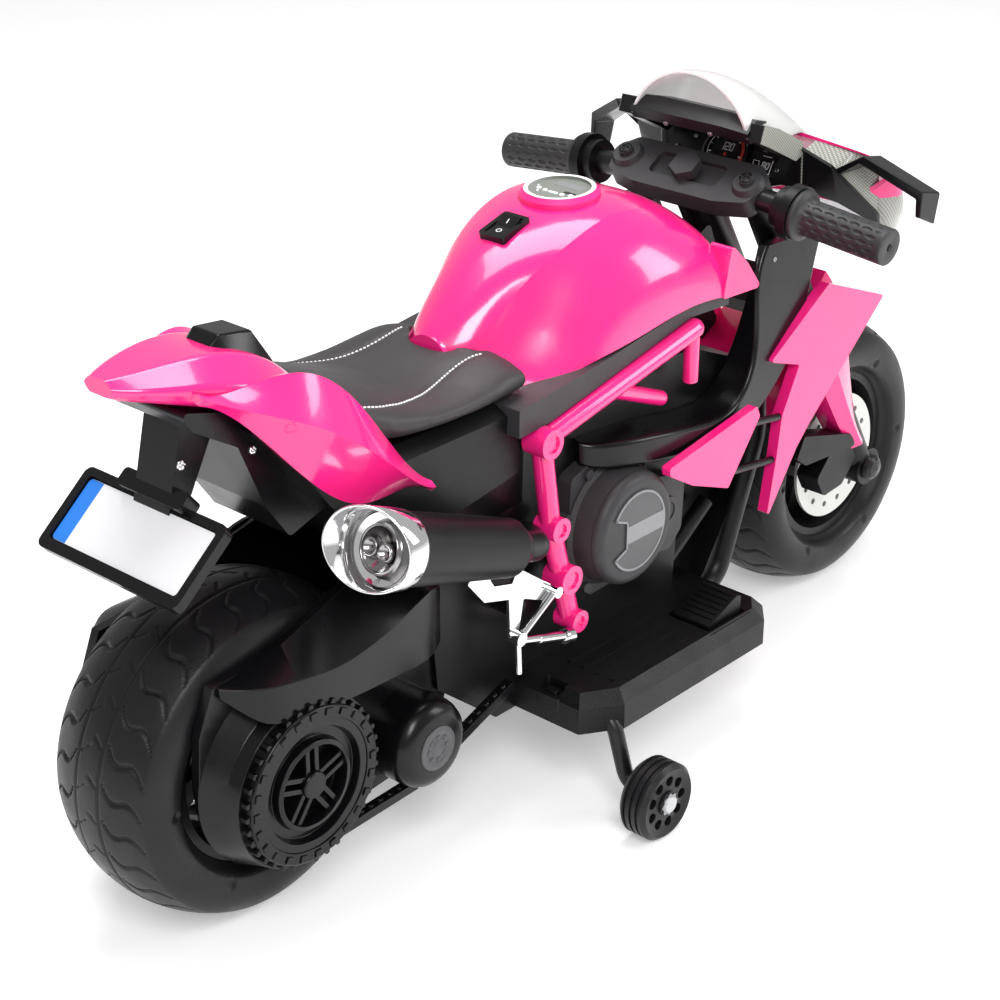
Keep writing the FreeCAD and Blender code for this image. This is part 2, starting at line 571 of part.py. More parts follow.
def stabiliser_wheel():
    body = turned([(10, STAB_IN), (20, STAB_IN + 2), (31, STAB_IN), (STAB_R, STAB_IN + 4),
                   (STAB_R, STAB_OUT - 4), (31, STAB_OUT), (22, STAB_OUT - 3), (10, STAB_OUT - 2)],
                  STAB_X, STAB_R, -1)
    hub = cross_rod(STAB_X, STAB_R, -STAB_OUT, -STAB_IN, 11)
    cuts = [cross_rod(STAB_X, STAB_R, -230, -190, 5 + RUN_FIT)]
    for y in (202.0, 208.5, 215.0):
        cuts.append(turned([(33, y - 1.2), (36, y - 1.2), (36, y + 1.2), (33, y + 1.2)], STAB_X, STAB_R, -1))
    cuts += spread(9, cross_rod(STAB_X + 20, STAB_R, -230, -212, 4.6), V(STAB_X, 0, STAB_R), V(0, 1, 0))
    return fuse([body, hub]).cut(Part.makeCompound(cuts))


both("stabiliser_wheel", stabiliser_wheel())
stab_arm = bent([V(STAB_X, -76, 94), V(STAB_X, -160, 94), V(STAB_X, -176, STAB_R + 8),
                 V(STAB_X, -187, STAB_R)], 7, 22)
stab_pin = cross_rod(STAB_X, STAB_R, -STAB_OUT - 0.5, -182, 5)
push_nut = turned([(0, STAB_OUT + 0.5), (8, STAB_OUT + 0.5), (7, STAB_OUT + 3), (0, STAB_OUT + 4)],
                  STAB_X, STAB_R, -1)
stabiliser = clear(fuse([stab_arm, stab_pin, push_nut]), board)
save("stabiliser_arms", Part.makeCompound([stabiliser, other(stabiliser)]))

# Side duct, fairing and pod
duct_rows = [[(-58, -84, 312), (-56, -84, 290), (-50, -72, 290), (-52, -72, 312)],
             [(-26, -107, 309), (-22, -105, 283), (0, -72, 283), (-5, -72, 309)],
             [(50, -117, 300), (52, -114, 273), (55, -72, 273), (52, -72, 300)],
             [(115, -114, 294), (124, -112, 266), (124, -72, 266), (115, -72, 294)],
             [(150, -110, 322), (192, -108, 294), (192, -76, 288), (150, -76, 318)],
             [(160, -105, 372), (240, -103, 352), (240, -88, 352), (160, -88, 372)],
             [(178, -99, 428), (268, -99, 424), (268, -88, 424), (178, -88, 428)]]
duct = loft([rounded([V(*p) for p in row], 4) for row in duct_rows])
duct = clear(duct, shell, engine, trellis)
both("side_duct", duct)
fairing = side_slab([(262, 374), (357, 337), (244, 240), (226, 222), (183, 161), (194, 222), (199, 262),
                     (222, 306), (176, 322)], -112, -101, 2)
fairing = clear(fairing, duct, shell)
both("fairing", fairing)
pod = side_slab([(12, 277), (137, 296), (142, 285), (99, 229), (46, 250), (14, 269)], -127, -118, 3)
stays = [rod(V(132, -116, 276), V(214, -106, 257), 3.5), rod(V(96, -118, 240), V(202, -106, 217), 3.5)]
pod = clear(fuse([pod]), duct)
save("side_pods", Part.makeCompound([pod, other(pod)]))
stay = clear(Part.makeCompound(stays), pod, duct, fairing)
save("pod_stays", Part.makeCompound([stay, other(stay)]))

# Nose cowl, headlight, dash, windshield, winglets
NOSE = [(196, 64, 524, 514, 503), (250, 108, 512, 503, 488), (300, 150, 491, 484, 424),
        (345, 140, 463, 448, 362), (395, 100, 428, 410, 350), (434, 50, 392, 378, 350)]
nose_outer, nose_inner = cowl_shell(NOSE, SKIN)
nose = nose_outer.cut(nose_inner)
cockpit = plan_slab([(180, -170), (312, -170), (240, 0), (312, 170), (180, 170)], 330, 560)
visor = nose.common(cockpit)
nose = nose.cut(cockpit)
lens_zone = side_slab([(376, 366), (450, 356), (450, 384), (380, 396)], -80, 80, 4)
lens = nose.common(lens_zone)
nose = nose.cut(lens_zone)
save("nose_cowl", nose)
save("headlight", lens)
dash_strip = side_slab([(199, 512), (240, 490), (262, 450), (282, 405), (288, 408), (268, 454), (245, 496),
                        (202, 519)], -140, 140)
dash = dash_strip.common(nose_inner)
gauge = Part.makeCylinder(30, 8, V(247, 0, 478), V(-0.85, 0, 0.5))
gauge = gauge.cut(Part.makeCylinder(26, 6, V(247, 0, 478) + V(-0.85, 0, 0.5) * 5, V(-0.85, 0, 0.5)))
dash = fuse([visor, dash, clear(gauge, nose)])
save("dash_panel", dash)
screen_rows = [(188, 66, 524, 565), (235, 78, 512, 553), (285, 76, 492, 522), (335, 52, 468, 482)]
screen_wires = []
for x, half, foot, top in screen_rows:
    outer_arc = Part.Arc(V(x, -half, foot - 8), V(x, 0, top), V(x, half, foot - 8)).toShape()
    inner_arc = Part.Arc(V(x, half - 3, foot - 8), V(x, 0, top - 2.6), V(x, -half + 3, foot - 8)).toShape()
    screen_wires.append(Part.Wire([outer_arc, Part.makeLine(V(x, half, foot - 8), V(x, half - 3, foot - 8)),
                                   inner_arc, Part.makeLine(V(x, -half + 3, foot - 8), V(x, -half, foot - 8))]))
screen = clear(loft(screen_wires), nose_outer)
save("windshield", screen)
wing_path = [V(306, -135, 479), V(306, -186, 474), V(304, -187, 448)]
wing_a, wing_b, wing_c = corner(*wing_path, 9)
wing_line = Part.Wire([Part.makeLine(wing_path[0], wing_a), Part.Arc(wing_a, wing_b, wing_c).toShape(),
                       Part.makeLine(wing_c, wing_path[2])])
wing_shape = rounded([V(292, -135, 476.5), V(322, -135, 478), V(322, -135, 483), V(292, -135, 483.5)], 2)
winglet = clear(wing_line.makePipeShell([wing_shape], True, False), nose_outer)
save("winglets", Part.makeCompound([winglet, other(winglet)]))

# Swingarms with belt relief, drive unit, rear axle
HUB_R = V(X_REAR, 0, WHEEL_R)
arm_plate = side_slab([(-459, 242), (-474, 205), (-477, 160), (-462, 108), (-417, 66), (-390, 64), (-330, 74),
                       (-262, 80), (-222, 98), (-205, 140), (-215, 200), (-236, 232), (-318, 286),
                       (-402, 262)], -70, -61, 8)
arm_face_in = [(-460, 243), (-440, 206), (-337, 204), (-300, 190), (-252, 180), (-236, 230), (-320, 288),
               (-402, 262)]
arm_face_out = [(-446, 231), (-431, 209), (-332, 214), (-300, 203), (-262, 196), (-250, 224), (-326, 274),
                (-398, 254)]
arm_face = loft([closed([V(x, -70, z) for x, z in arm_face_in]),
                 closed([V(x, -100, z) for x, z in arm_face_out])], True)
flare = turned([(60, 70), (79, 70), (75, 84), (72, 94), (60, 94)], X_REAR, WHEEL_R, -1)
belt = turned([(58, 70), (68, 70), (68, 103), (58, 103)], X_REAR, WHEEL_R, -1)
cogs = spread(36, side_slab([(X_REAR + 66, WHEEL_R - 2), (X_REAR + 70.5, WHEEL_R - 1.5),
                             (X_REAR + 70.5, WHEEL_R + 1.5), (X_REAR + 66, WHEEL_R + 2)], -102, -70),
              HUB_R, V(0, 1, 0))
belt_runs = [side_slab([(-384, 208), (-384, 200), (-210, 168), (-210, 176)], -98, -68),
             side_slab([(-402, 72), (-400, 82), (-214, 118), (-212, 108)], -98, -68)]
sprocket = turned([(0, 70), (60, 70), (60, 90), (54, 90), (54, 98), (48, 101), (44, 96), (18, 96), (15, 106), (0, 107)],
                  X_REAR, WHEEL_R, -1)
pockets = spread(6, cross_rod(X_REAR + 31, WHEEL_R, -110, -88, 9.5), HUB_R, V(0, 1, 0))
MOTOR = (-263.0, 119.0)
dome = turned([(0, 61), (39, 61), (39, 96), (36, 108, 26, 112), (0, 113)], *MOTOR, -1)
motor_room = cross_rod(*MOTOR, -106, -64, 31)
swingarm = fuse([arm_plate, arm_face, flare, belt, sprocket.cut(Part.makeCompound(pockets)), dome] + cogs + belt_runs)
swingarm = clear(swingarm.cut(motor_room).cut(cross_rod(X_REAR, WHEEL_R, -104, -50, AXLE_R)), shell, hull)
both("swingarm", swingarm)
save("drive_unit", cross_rod(*MOTOR, -104, -66, 29))
save("rear_axle", cross_rod(X_REAR, WHEEL_R, -104, 104, AXLE_R))
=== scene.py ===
import bmesh
import bpy
import math
import numpy as np
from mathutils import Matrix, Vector
from mathutils.bvhtree import BVHTree


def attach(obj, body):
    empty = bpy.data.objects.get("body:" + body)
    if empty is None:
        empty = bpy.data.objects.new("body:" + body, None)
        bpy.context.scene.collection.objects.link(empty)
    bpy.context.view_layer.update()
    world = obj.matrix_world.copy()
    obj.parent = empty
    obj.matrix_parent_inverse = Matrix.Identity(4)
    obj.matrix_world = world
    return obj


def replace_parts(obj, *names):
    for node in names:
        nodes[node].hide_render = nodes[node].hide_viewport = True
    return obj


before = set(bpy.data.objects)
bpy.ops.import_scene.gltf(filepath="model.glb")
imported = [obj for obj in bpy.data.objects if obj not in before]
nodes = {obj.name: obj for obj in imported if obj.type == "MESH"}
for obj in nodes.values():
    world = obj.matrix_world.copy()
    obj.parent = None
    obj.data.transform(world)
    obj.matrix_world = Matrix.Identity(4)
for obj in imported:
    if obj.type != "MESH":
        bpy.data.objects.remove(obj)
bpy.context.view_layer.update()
scene = bpy.context.scene

MM = 0.001
WHEEL_R = 140.0
WHEEL_X = 390.0
STAB_X = -98.0
STAB_R = 34.7
STAB_OUT = 223.0
PANEL = (11.0, 0.0, 495.0)
PANEL_FACE_R = 27.2
PANEL_RIM_R = 30.8
DIAL = (249.0, 0.0, 478.0)
DRUM = (-21.0, -121.2, 229.0)
ROCKER = (-58.0, 0.0, 479.0)
PLATE_TOP = (-442.0, 0.0, 372.0)
STEER_AXIS = (-0.515038, 0.0, 0.857167)


# Materials
def rgb(r, g, b):
    """Linear colour from 0 to 255 display values."""
    def channel(v):
        v /= 255.0
        return v / 12.92 if v <= 0.04045 else ((v + 0.055) / 1.055) ** 2.4
    return (channel(r), channel(g), channel(b), 1.0)


def tint(colour, factor):
    return tuple(min(1.0, c * factor) for c in colour[:3]) + (1.0,)


class Look:
    """A node material whose colour, gloss and grain vary over the surface."""

    def __init__(self, name, colour, rough, metal=0.0, mottle=0.05, mottle_size=9.0, rough_vary=0.06,
                 grain=0.0, grain_size=700.0, coat=0.0, wear=0.0, wear_colour=None, shine=0.5):
        self.material = bpy.data.materials.new(name)
        self.material.use_nodes = True
        self.tree = self.material.node_tree
        self.shader = self.tree.nodes["Principled BSDF"]
        self.place = self.node("ShaderNodeTexCoord").outputs["Object"]
        self.set(Metallic=metal, Coat_Weight=coat, Specular_IOR_Level=shine, Coat_Roughness=0.06)
        cloud = self.noise(mottle_size, 4.0)
        self.colour = self.mix(cloud, tint(colour, 1 - mottle), tint(colour, 1 + mottle))
        if wear:
            self.colour = self.edge_wear(wear, wear_colour or tint(colour, 2.5))
        self.put(self.colour, "Base Color")
        gloss = self.spread(self.noise(mottle_size * 3.7, 5.0), rough - rough_vary, rough + rough_vary)
        self.put(gloss, "Roughness")
        self.height = None
        if grain:
            self.bump(self.noise(grain_size, 2.0), grain)

    def node(self, kind, values=None, **settings):
        """A new node with values on its sockets and settings of its own."""
        made = self.tree.nodes.new(kind)
        for key, value in settings.items():
            setattr(made, key, value)
        for key, value in (values or {}).items():
            made.inputs[key].default_value = value
        return made

    def link(self, a, b):
        self.tree.links.new(a, b)

    def put(self, output, socket):
        self.link(output, self.shader.inputs[socket])

    def set(self, **values):
        for key, value in values.items():
            self.shader.inputs[key.replace("_", " ")].default_value = value

    def noise(self, size, detail):
        made = self.node("ShaderNodeTexNoise", {"Scale": size, "Detail": detail})
        self.link(self.place, made.inputs["Vector"])
        return made.outputs["Fac"]

    def spread(self, value, low, high, start=0.25, end=0.75):
        made = self.node("ShaderNodeMapRange", {"From Min": start, "From Max": end,
                                                "To Min": low, "To Max": high})
        self.link(value, made.inputs["Value"])
        return made.outputs["Result"]

    def mix(self, factor, a, b):
        made = self.node("ShaderNodeMix", data_type="RGBA")
        self.link(factor, made.inputs["Factor"])
        for value, socket in ((a, made.inputs[6]), (b, made.inputs[7])):
            if isinstance(value, tuple):
                socket.default_value = value
            else:
                self.link(value, socket)
        return made.outputs[2]

    def maths(self, operation, a, b=0.0, c=0.0):
        made = self.node("ShaderNodeMath", operation=operation)
        for value, socket in zip((a, b, c), made.inputs):
            if isinstance(value, (int, float)):
                socket.default_value = value
            else:
                self.link(value, socket)
        return made.outputs[0]

    def axis(self, name):
        split = self.node("ShaderNodeSeparateXYZ")
        self.link(self.place, split.inputs[0])
        return split.outputs[name]

    def cells(self, size):
        made = self.node("ShaderNodeTexVoronoi", {"Scale": size}, feature="DISTANCE_TO_EDGE")
        self.link(self.place, made.inputs["Vector"])
        return made.outputs["Distance"]

    def stripes(self, name, period):
        """A wave from 0 to 1 along one axis, period in metres."""
        turned = self.maths("SINE", self.maths("MULTIPLY", self.axis(name), 2 * math.pi / period))
        return self.maths("MULTIPLY_ADD", turned, 0.5, 0.5)

    def above(self, value, limit, soft=0.0004):
        """1 where value is over limit, 0 below it."""
        return self.spread(value, 0.0, 1.0, limit - soft, limit + soft)

    def below(self, value, limit, soft=0.0004):
        """1 where value is under limit, 0 above it."""
        return self.spread(value, 1.0, 0.0, limit - soft, limit + soft)

    def recolour(self, mask, colour):
        self.colour = self.mix(mask, self.colour, colour)
        self.put(self.colour, "Base Color")

    def edge_wear(self, amount, colour):
        point = self.node("ShaderNodeNewGeometry").outputs["Pointiness"]
        mask = self.spread(point, 0.0, amount, 0.52, 0.62)
        return self.mix(mask, self.colour, colour)

    def bump(self, value, strength, distance=0.001):
        made = self.node("ShaderNodeBump", {"Strength": strength, "Distance": distance})
        self.link(value, made.inputs["Height"])
        if self.height is not None:
            self.link(self.height, made.inputs["Normal"])
        self.height = made.outputs["Normal"]
        self.put(self.height, "Normal")


PINK = rgb(246, 34, 128)
BLACK = rgb(12, 12, 14)
pink = Look("pink_gloss", PINK, 0.2, mottle=0.03, rough_vary=0.05, grain=0.03, grain_size=90, coat=0.6)
satin = Look("black_satin", BLACK, 0.36, mottle=0.14, grain=0.10, grain_size=900, wear=0.10, shine=0.24)
smooth = Look("black_smooth", rgb(10, 10, 12), 0.24, mottle=0.12, grain=0.04, grain_size=300, wear=0.06,
              shine=0.28)
grained = Look("black_grained", rgb(12, 12, 13), 0.42, mottle=0.14, grain=0.3, grain_size=620, wear=0.12,
               shine=0.28)
cast = Look("grey_cast", rgb(50, 49, 51), 0.46, mottle=0.12, grain=0.3, grain_size=620, wear=0.1, shine=0.34)
chrome = Look("bright_plate", (0.82, 0.82, 0.83, 1.0), 0.07, metal=1.0, mottle=0.02, rough_vary=0.03)
silver = Look("disc_silver", rgb(206, 207, 203), 0.36, metal=0.35, grain=0.05, grain_size=1200)
tyre_look = Look("tyre_moulded", rgb(21, 21, 23), 0.4, mottle=0.16, rough_vary=0.09, grain=0.16,
                 grain_size=480, wear=0.16, wear_colour=rgb(70, 71, 72), shine=0.28)
rim_look = Look("rim_black", rgb(9, 9, 10), 0.38, mottle=0.1, grain=0.08, grain_size=800, shine=0.3)
rubber = Look("grip_rubber", rgb(38, 38, 40), 0.5, mottle=0.12, rough_vary=0.08, grain=0.2, grain_size=800)
steel = Look("painted_steel", rgb(14, 14, 16), 0.34, metal=0.2, mottle=0.1, grain=0.08, grain_size=500,
             wear=0.2)
bolt = Look("bolt_steel", rgb(150, 150, 152), 0.3, metal=1.0, mottle=0.1, rough_vary=0.1)
grey = Look("badge_grey", rgb(72, 72, 74), 0.38, mottle=0.06, grain=0.06)
# Light grey for the printed badge trim and label, and for the painted highlight on the gauge bezel
light_grey = Look("badge_light", rgb(130, 130, 132), 0.4, mottle=0.06, grain=0.06)
white = Look("white_print", rgb(232, 234, 236), 0.35, mottle=0.02, grain=0.02, grain_size=400)
can_metal = Look("motor_can", rgb(90, 92, 96), 0.35, metal=0.9, mottle=0.1)
screen = Look("screen_milky", rgb(240, 240, 236), 0.2, mottle=0.02, grain=0.02, grain_size=60)
screen.set(Transmission_Weight=0.1, IOR=1.45, Coat_Weight=0.3, Subsurface_Weight=0.8, Subsurface_Scale=0.02,
           Subsurface_Radius=(1, 1, 1))
lens = Look("lens_clear", rgb(232, 238, 242), 0.08, mottle=0.03)
lens.set(Transmission_Weight=0.7, IOR=1.45)
thread = Look("white_thread", rgb(236, 236, 234), 0.6, mottle=0.06, mottle_size=400)
red = Look("red_print", rgb(214, 62, 46), 0.35, mottle=0.04)
blue = Look("blue_print", rgb(38, 124, 222), 0.35, mottle=0.03)
glass_black = Look("display_black", rgb(10, 12, 13), 0.12, mottle=0.1, rough_vary=0.03)
leather = Look("seat_leather", rgb(47, 45, 47), 0.5, mottle=0.1, rough_vary=0.07)
leather.bump(leather.cells(760), 0.35, 0.0004)
leather.bump(leather.noise(120, 3.0), 0.12, 0.002)

panel_look = Look("panel_face", rgb(120, 124, 118), 0.4, grain=0.04, grain_size=600)
off_x = panel_look.maths("SUBTRACT", panel_look.axis("X"), PANEL[0] * MM)
off_y = panel_look.axis("Y")
away = panel_look.maths("SQRT", panel_look.maths("MULTIPLY_ADD", off_x, off_x,
                                                 panel_look.maths("MULTIPLY", off_y, off_y)))
panel_look.recolour(panel_look.above(away, PANEL_FACE_R * MM), rgb(244, 244, 243))
panel_look.recolour(panel_look.above(away, PANEL_RIM_R * MM), PINK)

nut_look = Look("stabiliser_steel", rgb(20, 20, 22), 0.34, metal=0.3, mottle=0.1, grain=0.08, grain_size=500)
nut_look.recolour(nut_look.above(nut_look.maths("ABSOLUTE", nut_look.axis("Y")), STAB_OUT * MM),
                  rgb(186, 188, 190))

CARBON_DARK = rgb(104, 105, 98)
CARBON_LIGHT = rgb(178, 179, 170)
WEAVE_STEP = 0.003
# Limits of the woven print, in metres: the nose behind a swept line, its low flanks, the dash's cheeks
BAND_X, SWEEP_FROM, SWEEP_RATE = 0.258, 0.091, 0.8
FLANK_Y, FLANK_Z = 0.120, 0.45
CHEEK_FROM, CHEEK_TO, CHEEK_SOFT = 0.0795, 0.0806, 0.0002


def carbon(look):
    """Fine woven print, as a colour output."""
    weave = look.maths("SUBTRACT", look.stripes("X", WEAVE_STEP), look.stripes("Z", WEAVE_STEP))
    return look.mix(look.maths("ABSOLUTE", weave), CARBON_DARK, CARBON_LIGHT)


nose_look = Look("nose_pink", PINK, 0.24, mottle=0.03, rough_vary=0.05, grain=0.03, grain_size=90, coat=0.35)
span = nose_look.maths("ABSOLUTE", nose_look.axis("Y"))
beyond = nose_look.maths("MAXIMUM", nose_look.maths("SUBTRACT", span, SWEEP_FROM))
sweep = nose_look.maths("MULTIPLY", beyond, SWEEP_RATE)
band = nose_look.below(nose_look.maths("SUBTRACT", nose_look.axis("X"), sweep), BAND_X)
flank = nose_look.maths("MULTIPLY", nose_look.above(span, FLANK_Y),
                        nose_look.below(nose_look.axis("Z"), FLANK_Z))
nose_look.recolour(nose_look.maths("MAXIMUM", band, flank), carbon(nose_look))

dash_look = Look("dash_black", rgb(11, 11, 13), 0.34, mottle=0.14, grain=0.1, grain_size=900, wear=0.06,
                 shine=0.34)
span = dash_look.maths("ABSOLUTE", dash_look.axis("Y"))
cheek = dash_look.maths("MULTIPLY", dash_look.above(span, CHEEK_FROM),
                        dash_look.below(span, CHEEK_TO, CHEEK_SOFT))
dash_look.recolour(cheek, carbon(dash_look))
weave_look = Look("woven_print", CARBON_DARK, 0.3, coat=0.4)
weave_look.put(carbon(weave_look), "Base Color")
# Dark metal for the throat and outlets inside the chrome tip: painted shade in the hollow
throat_shade_look = Look("tip_inner_painted_shade", (0.34, 0.33, 0.33, 1.0), 0.16, metal=1.0, mottle=0.08, rough_vary=0.05)

LOOKS = {
    pink: ("tank_cover", "tail_cowl", "tail_panel_left", "tail_panel_right", "fairing_left", "fairing_right",
           "side_pods", "trellis_left", "trellis_right", "front_mudguard"),
    nose_look: ("nose_cowl",),
    dash_look: ("dash_panel",),
    smooth: ("swingarm_left", "swingarm_right", "tail_bump", "plate_holder", "winglets", "switch_bezel",
             "rocker_switch", "side_duct_left", "side_duct_right", "tail_undertray", "plate_bracket"),
    grained: ("footboard_left", "footboard_right", "pedal"),
    cast: ("engine_covers", "tank_trims", "triple_clamp"),
    chrome: ("exhaust_tip", "heel_guards"),
    silver: ("brake_discs",),
    rim_look: ("front_rim", "rear_rim"),
    tyre_look: ("front_tyre", "rear_tyre", "stabiliser_wheel_left", "stabiliser_wheel_right"),
    rubber: ("grips",),
    leather: ("seat_cushion",),
    nut_look: ("stabiliser_arms",),
    steel: ("rear_axle", "head_frame", "front_axle", "handlebar"),
    grey: ("engine_badges",),
    panel_look: ("tank_panel",),
    white: ("number_plate",),
    can_metal: ("drive_unit",),
    screen: ("windshield",),
    lens: ("headlight",),
}
painted = {name: look for look, names in LOOKS.items() for name in names}

# Softened moulding edges, in millimetres
SOFT_EDGE = {"tank_cover": 1.2, "tail_cowl": 1.6, "tail_panel_left": 1.6, "tail_panel_right": 1.6,
             "fairing_left": 1.6, "fairing_right": 1.6, "side_pods": 1.6, "tail_bump": 1.8,
             "number_plate": 0.3, "engine_badges": 0.3, "brake_discs": 0.2, "windshield": 0.3,
             "heel_guards": 0.5, "exhaust_tip": 0.5}
PLAIN_EDGE = 0.8
SOFT_ANGLE = math.radians(32)


def soften(ob, width):
    edge = ob.modifiers.new("soft_edge", "BEVEL")
    edge.width = width * MM
    edge.segments = 2
    edge.limit_method = "ANGLE"
    edge.angle_limit = SOFT_ANGLE
    edge.harden_normals = True


for name, ob in nodes.items():
    ob.data.materials.clear()
    ob.data.materials.append(painted.get(name, satin).material)
    soften(ob, SOFT_EDGE.get(name, PLAIN_EDGE))

# Floor, light and camera
CAMERA_AT = (-1.3886, -1.1812, 1.0833)
CAMERA_AIM = (-0.0546, 0.0336, 0.2184)
FLOOR_HALF = 9
floor_look = Look("pale_floor", (0.9, 0.9, 0.9, 1.0), 0.6, mottle=0.01, grain=0.01, grain_size=40)
floor_look.set(Emission_Color=(1, 1, 1, 1), Emission_Strength=0.3)
floor_mesh = bpy.data.meshes.new("floor")
corners = ((-1, -1, 0), (1, -1, 0), (1, 1, 0), (-1, 1, 0))
floor_mesh.from_pydata([[FLOOR_HALF * c for c in corner] for corner in corners], [], [(0, 1, 2, 3)])
floor_mesh.materials.append(floor_look.material)
floor = bpy.data.objects.new("floor", floor_mesh)
scene.collection.objects.link(floor)

world = bpy.data.worlds.new("studio")
scene.world = world
world.use_nodes = True
backdrop = world.node_tree.nodes["Background"]
backdrop.inputs["Color"].default_value = (1, 1, 1, 1)
backdrop.inputs["Strength"].default_value = 0.5


def turned_to(place, aim):
    """Rotation of a lamp or camera that stands at a place and looks at an aim."""
    return (Vector(aim) - Vector(place)).to_track_quat("-Z", "Y").to_euler()


def soft_box(name, place, aim, size, power):
    lamp = bpy.data.lights.new(name, "AREA")
    lamp.shape = "RECTANGLE"
    lamp.size, lamp.size_y = size
    lamp.energy = power
    ob = bpy.data.objects.new(name, lamp)
    ob.location = place
    ob.rotation_euler = turned_to(place, aim)
    scene.collection.objects.link(ob)


soft_box("key", (-1.7, -1.9, 2.3), (0, 0, 0.3), (1.0, 1.4), 58)
soft_box("top", (0.2, 0.3, 2.6), (0, 0, 0.3), (1.6, 1.6), 52)
soft_box("side", (1.6, -1.8, 1.3), (0.1, 0, 0.3), (0.8, 1.4), 24)

camera = bpy.data.cameras.new("camera")
camera.sensor_width = 36.0
camera.lens = 81.1
camera.shift_x = 0.02195
camera.shift_y = 0.0016
viewer = bpy.data.objects.new("camera", camera)
viewer.location = CAMERA_AT
viewer.rotation_euler = turned_to(CAMERA_AT, CAMERA_AIM)
scene.collection.objects.link(viewer)
scene.camera = viewer
scene.view_settings.view_transform = "Standard"


# Mesh helpers
def piece(name, verts, faces, look, body, shade=True):
    """A new mesh, given in millimetres, that rides on a body."""
    mesh = bpy.data.meshes.new(name)
    mesh.from_pydata([tuple(c * MM for c in v) for v in verts], [], faces)
    mesh.update()
    mesh.polygons.foreach_set("use_smooth", [shade] * len(mesh.polygons))
    mesh.materials.append(look.material)
    ob = bpy.data.objects.new(name, mesh)
    scene.collection.objects.link(ob)
    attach(ob, body)
    return ob


def ring_faces(around, across, closed=True):
    """Quads of a skin that closes round, and across too if it is closed."""
    faces = []
    for i in range(around):
        k = (i + 1) % around
        for j in range(across if closed else across - 1):
            m = (j + 1) % across
            faces.append((i * across + j, i * across + m, k * across + m, k * across + j))
    return faces


def polar(radius, turn):
    """Flat coordinates from a radius and an angle in radians."""
    return radius * math.cos(turn), radius * math.sin(turn)


def on_circle(radius, degrees):
    return polar(radius, math.radians(degrees))


def full_turn(count):
    """Angles in even steps round a circle, in radians."""
    return [2 * math.pi * i / count for i in range(count)]


def circle(radius, count):
    return [polar(radius, turn) for turn in full_turn(count)]


def surface_of(ob):
    """The object's mesh, ready for rays."""
    mesh = ob.data
    return BVHTree.FromPolygons([v.co[:] for v in mesh.vertices], [f.vertices[:] for f in mesh.polygons])


def dropped(surface, x, y, height):
    """What a ray straight down from a height meets."""
    return surface.ray_cast(Vector((x, y, height)) * MM, Vector((0, 0, -1)))


def arc_points(a, via, b, count):
    """Points on the circle through three (r, y) spots, from a up to but not at b."""
    a, via, b = (np.array(p, float) for p in (a, via, b))
    m = np.array([via - a, b - a]) * 2
    centre = np.linalg.solve(m, [via @ via - a @ a, b @ b - a @ a])

    def turn(p):
        return math.atan2(*(p - centre)[::-1])
    start, middle, end = turn(a), turn(via), turn(b)
    span = (end - start) % (2 * math.pi)
    if (middle - start) % (2 * math.pi) > span:
        span -= 2 * math.pi
    radius = np.linalg.norm(a - centre)
    angles = start + span * np.arange(count) / count
    return [tuple(centre + radius * np.array([math.cos(t), math.sin(t)])) for t in angles]


def smoothstep(x):
    x = np.clip(x, 0, 1)
    return x * x * (3 - 2 * x)


# Tyres with a swept tread: long grooves to the sides, short cuts on the crown and a line between them
TREADS = 28
GROOVE_FROM, GROOVE_SPAN = 15.0, 35.0
GROOVE = {"sweep": 30.0, "bend": 7.0, "half": 2.9, "depth": 2.6}
CUT_SPAN = 11.0
CUT = {"sweep": 9.0, "bend": 0.0, "half": 1.6, "depth": 1.3}
GROOVE_END = 0.1
LINE_AT, LINE_HALF, LINE_DEPTH = 13.0, 1.3, 1.8
POCKETS = 6
POCKET_R = 100.5
POCKET_SIZE, POCKET_EASE, POCKET_DEPTH = 3.2, 1.6, 2.2
OUTER_WALL = 49.0
BEAD = [(86, -44), (88.5, -47), (91, -50), (91.8, -52), (95.2, -56.5)]
WALL = [(96, 57), (112, 58.5), (127, 51)]
CROWN = [(127, -51), (140, 0), (127, 51)]
LINER = [(86, 36), (100, 46), (122, 45), (133, 0), (122, -45), (100, -46), (86, -36)]
WALL_STEPS, CROWN_STEPS, TYRE_STEPS = 14, 76, 560


def groove_depth(theta, share, shift, sweep, bend, half, depth):
    """Grooves pointed at both ends, one to a tread block, over a share from 0 to 1 across."""
    pitch = 2 * np.pi / TREADS
    lead = (sweep * share + bend * np.sin(2 * np.pi * share)) / WHEEL_R
    off = ((theta - lead - shift + pitch / 2) % pitch - pitch / 2) * WHEEL_R
    width = half * np.sqrt(np.clip(4 * share * (1 - share), 0, 1)) + GROOVE_END
    return np.where((share > 0) & (share < 1), depth * smoothstep(1 - np.abs(off) / width), 0)


def tread_depth(theta, y):
    """How far the moulded grooves sink the surface at an angle and a place across."""
    aside = np.abs(y)
    shift = np.where(y > 0, np.pi / TREADS, 0.0)
    depth = groove_depth(theta, (aside - GROOVE_FROM) / GROOVE_SPAN, shift, **GROOVE)
    depth = depth + groove_depth(theta, aside / CUT_SPAN, shift / 2, **CUT)
    return depth + LINE_DEPTH * smoothstep(1 - np.abs(aside - LINE_AT) / LINE_HALF)


def flipped(spots):
    return [(r, -y) for r, y in spots]


